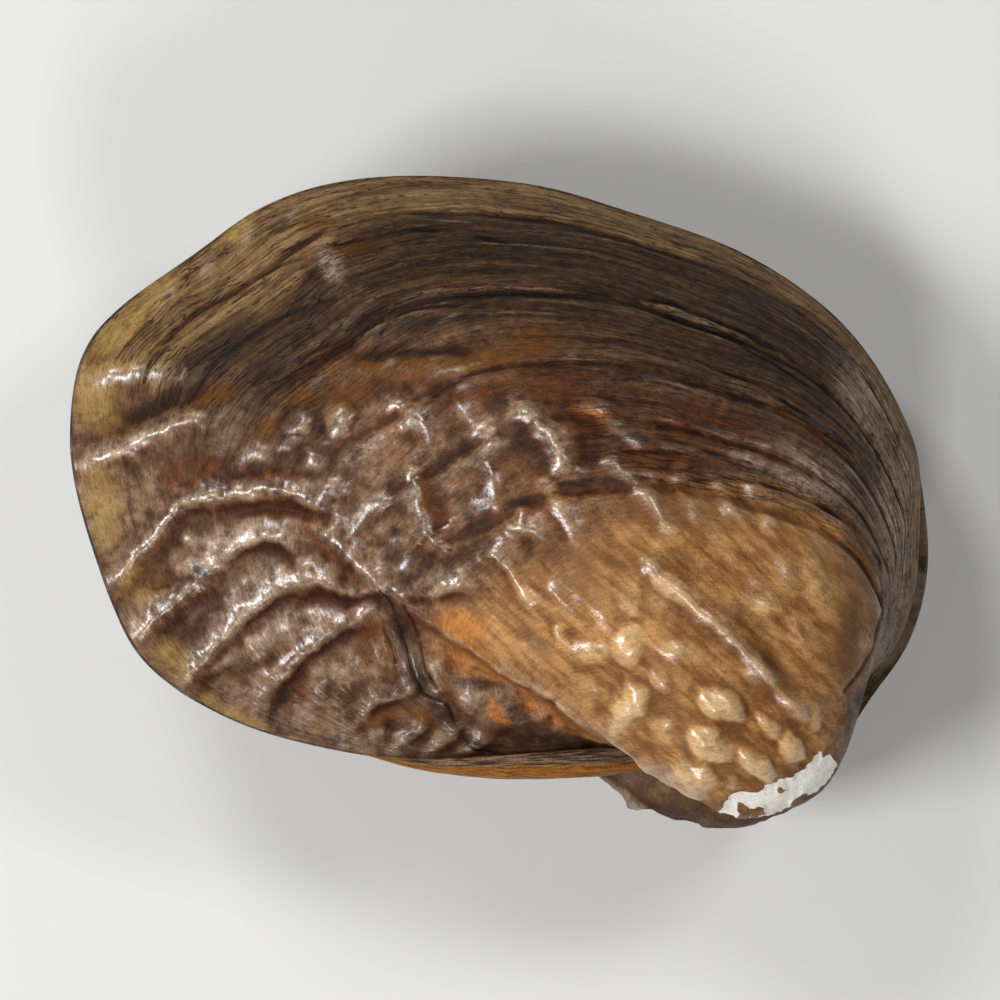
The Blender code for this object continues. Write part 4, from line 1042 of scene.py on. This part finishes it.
# Ligament: a springy band of brown horn outside the hinge line, behind the beaks. It was laid
# down in layers as the shell grew, and pulls the valves open.
LIGAMENT_INNER = [(-12.4, -22.4), (-10.0, -22.8), (-6.5, -23.2), (0.0, -22.9), (7.0, -22.4),
                  (13.6, -22.1)]
LIGAMENT_OUTER = [(-12.5, -22.6), (-10.2, -23.3), (-7.6, -24.0), (-4.6, -24.5), (0.0, -24.8),
                  (5.0, -24.85), (9.0, -24.65), (13.4, -23.9)]
LIGAMENT_HALF_HEIGHT = 2.3
LIGAMENT_END = 0.25
LIGAMENT_STEPS = (260, 44)

ligament_places = np.linspace(0.0, 1.0, LIGAMENT_STEPS[0])
ligament_turns = np.linspace(-math.pi / 2, math.pi / 2, LIGAMENT_STEPS[1])
inner = smooth_path(LIGAMENT_INNER, ligament_places)[:, None, :]
outer = smooth_path(LIGAMENT_OUTER, ligament_places)[:, None, :]
taper = smoothstep(-0.02, 0.35, ligament_places) * smoothstep(-0.05, 0.2, 1.0 - ligament_places)
bulge = np.cos(ligament_turns)[None, :] ** 0.8
u, v = np.broadcast_arrays(ligament_places[:, None] * 24.0, ligament_turns[None, :] * 2.3)
fibre_relief = (0.05 * rough(u / 6.0, v / 0.35, 900, 3)
                + 0.07 * rough(u / 1.3, v / 1.1, 910, 3) * smoothstep(0.4, 1.2, v))
plan = inner + (outer - inner) * (bulge * (1.0 + fibre_relief * 2.0))[..., None]
half_height = LIGAMENT_END + (LIGAMENT_HALF_HEIGHT - LIGAMENT_END) * taper[:, None]
rise = np.sin(ligament_turns)[None, :] * half_height
ligament_grid = to_rest(np.dstack([lay_back(plan), rise])) * MM + np.array(PICTURE_MIDDLE)
columns, rows = LIGAMENT_STEPS
index = np.arange(columns * rows).reshape(columns, rows)
faces = quads_between(index).tolist()
faces += [index[0].tolist(), index[-1].tolist(), index[:, 0].tolist() + index[::-1, -1].tolist()]
run_values = {"run": np.dstack([u, v, v * 0.0])}
ligament_band = make_piece("ligament_band", ligament_grid, faces, run_values, weld=False)

ligament_horn = bpy.data.materials.new("ligament_horn")
ligament_horn.use_nodes = True
horn = ligament_horn.node_tree
horn_shader = horn.nodes["Principled BSDF"]
run_attribute = horn.nodes.new("ShaderNodeAttribute")
run_attribute.attribute_type = "GEOMETRY"
run_attribute.attribute_name = "run"
run = run_attribute.outputs["Vector"]
along, height_up, _ = split_vector(horn, run)
fibre = noise(horn, stretch(horn, run, (0.35, 5.0, 0.0)), 1.0, 4.0, 0.6)
wavy = noise(horn, stretch(horn, run, (0.9, 0.9, 0.0)), 1.0, 3.0, 0.6)
horn_grain = noise(horn, horn.nodes.new("ShaderNodeTexCoord").outputs["Object"], 4500.0, 3.0, 0.6)
fibres = remap(horn, fibre, 0.36, 0.64)
horn_colour = mix_colour(horn, fibres, (0.14, 0.044, 0.004), (0.34, 0.135, 0.018))
skin_edge = plus(horn, height_up, times(horn, wavy, 1.6))
over = remap(horn, skin_edge, 3.15, 3.35)
fibres = remap(horn, fibre, 0.40, 0.60)
flake_colour = mix_colour(horn, fibres, (0.035, 0.018, 0.009), (0.19, 0.12, 0.07))
horn_colour = mix_colour(horn, over, horn_colour, flake_colour)
horn_shade = grey(horn, remap(horn, horn_grain, 0.25, 0.75, 0.7, 1.3))
horn_colour = mix_colour(horn, 1.0, horn_colour, horn_shade, "MULTIPLY")
horn.links.new(horn_colour, horn_shader.inputs["Base Color"])
horn.links.new(remap(horn, over, 0.0, 1.0, 0.36, 0.62), horn_shader.inputs["Roughness"])
horn_shader.inputs["Specular IOR Level"].default_value = 0.15
horn_bump = horn.nodes.new("ShaderNodeBump")
horn_bump.inputs["Distance"].default_value = 0.00010
horn_relief = plus(horn, fibre, times(horn, horn_grain, 0.5))
horn.links.new(horn_relief, horn_bump.inputs["Height"])
horn.links.new(horn_bump.outputs["Normal"], horn_shader.inputs["Normal"])
ligament_band.data.materials.append(ligament_horn)
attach(ligament_band, "root")
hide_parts("ligament")
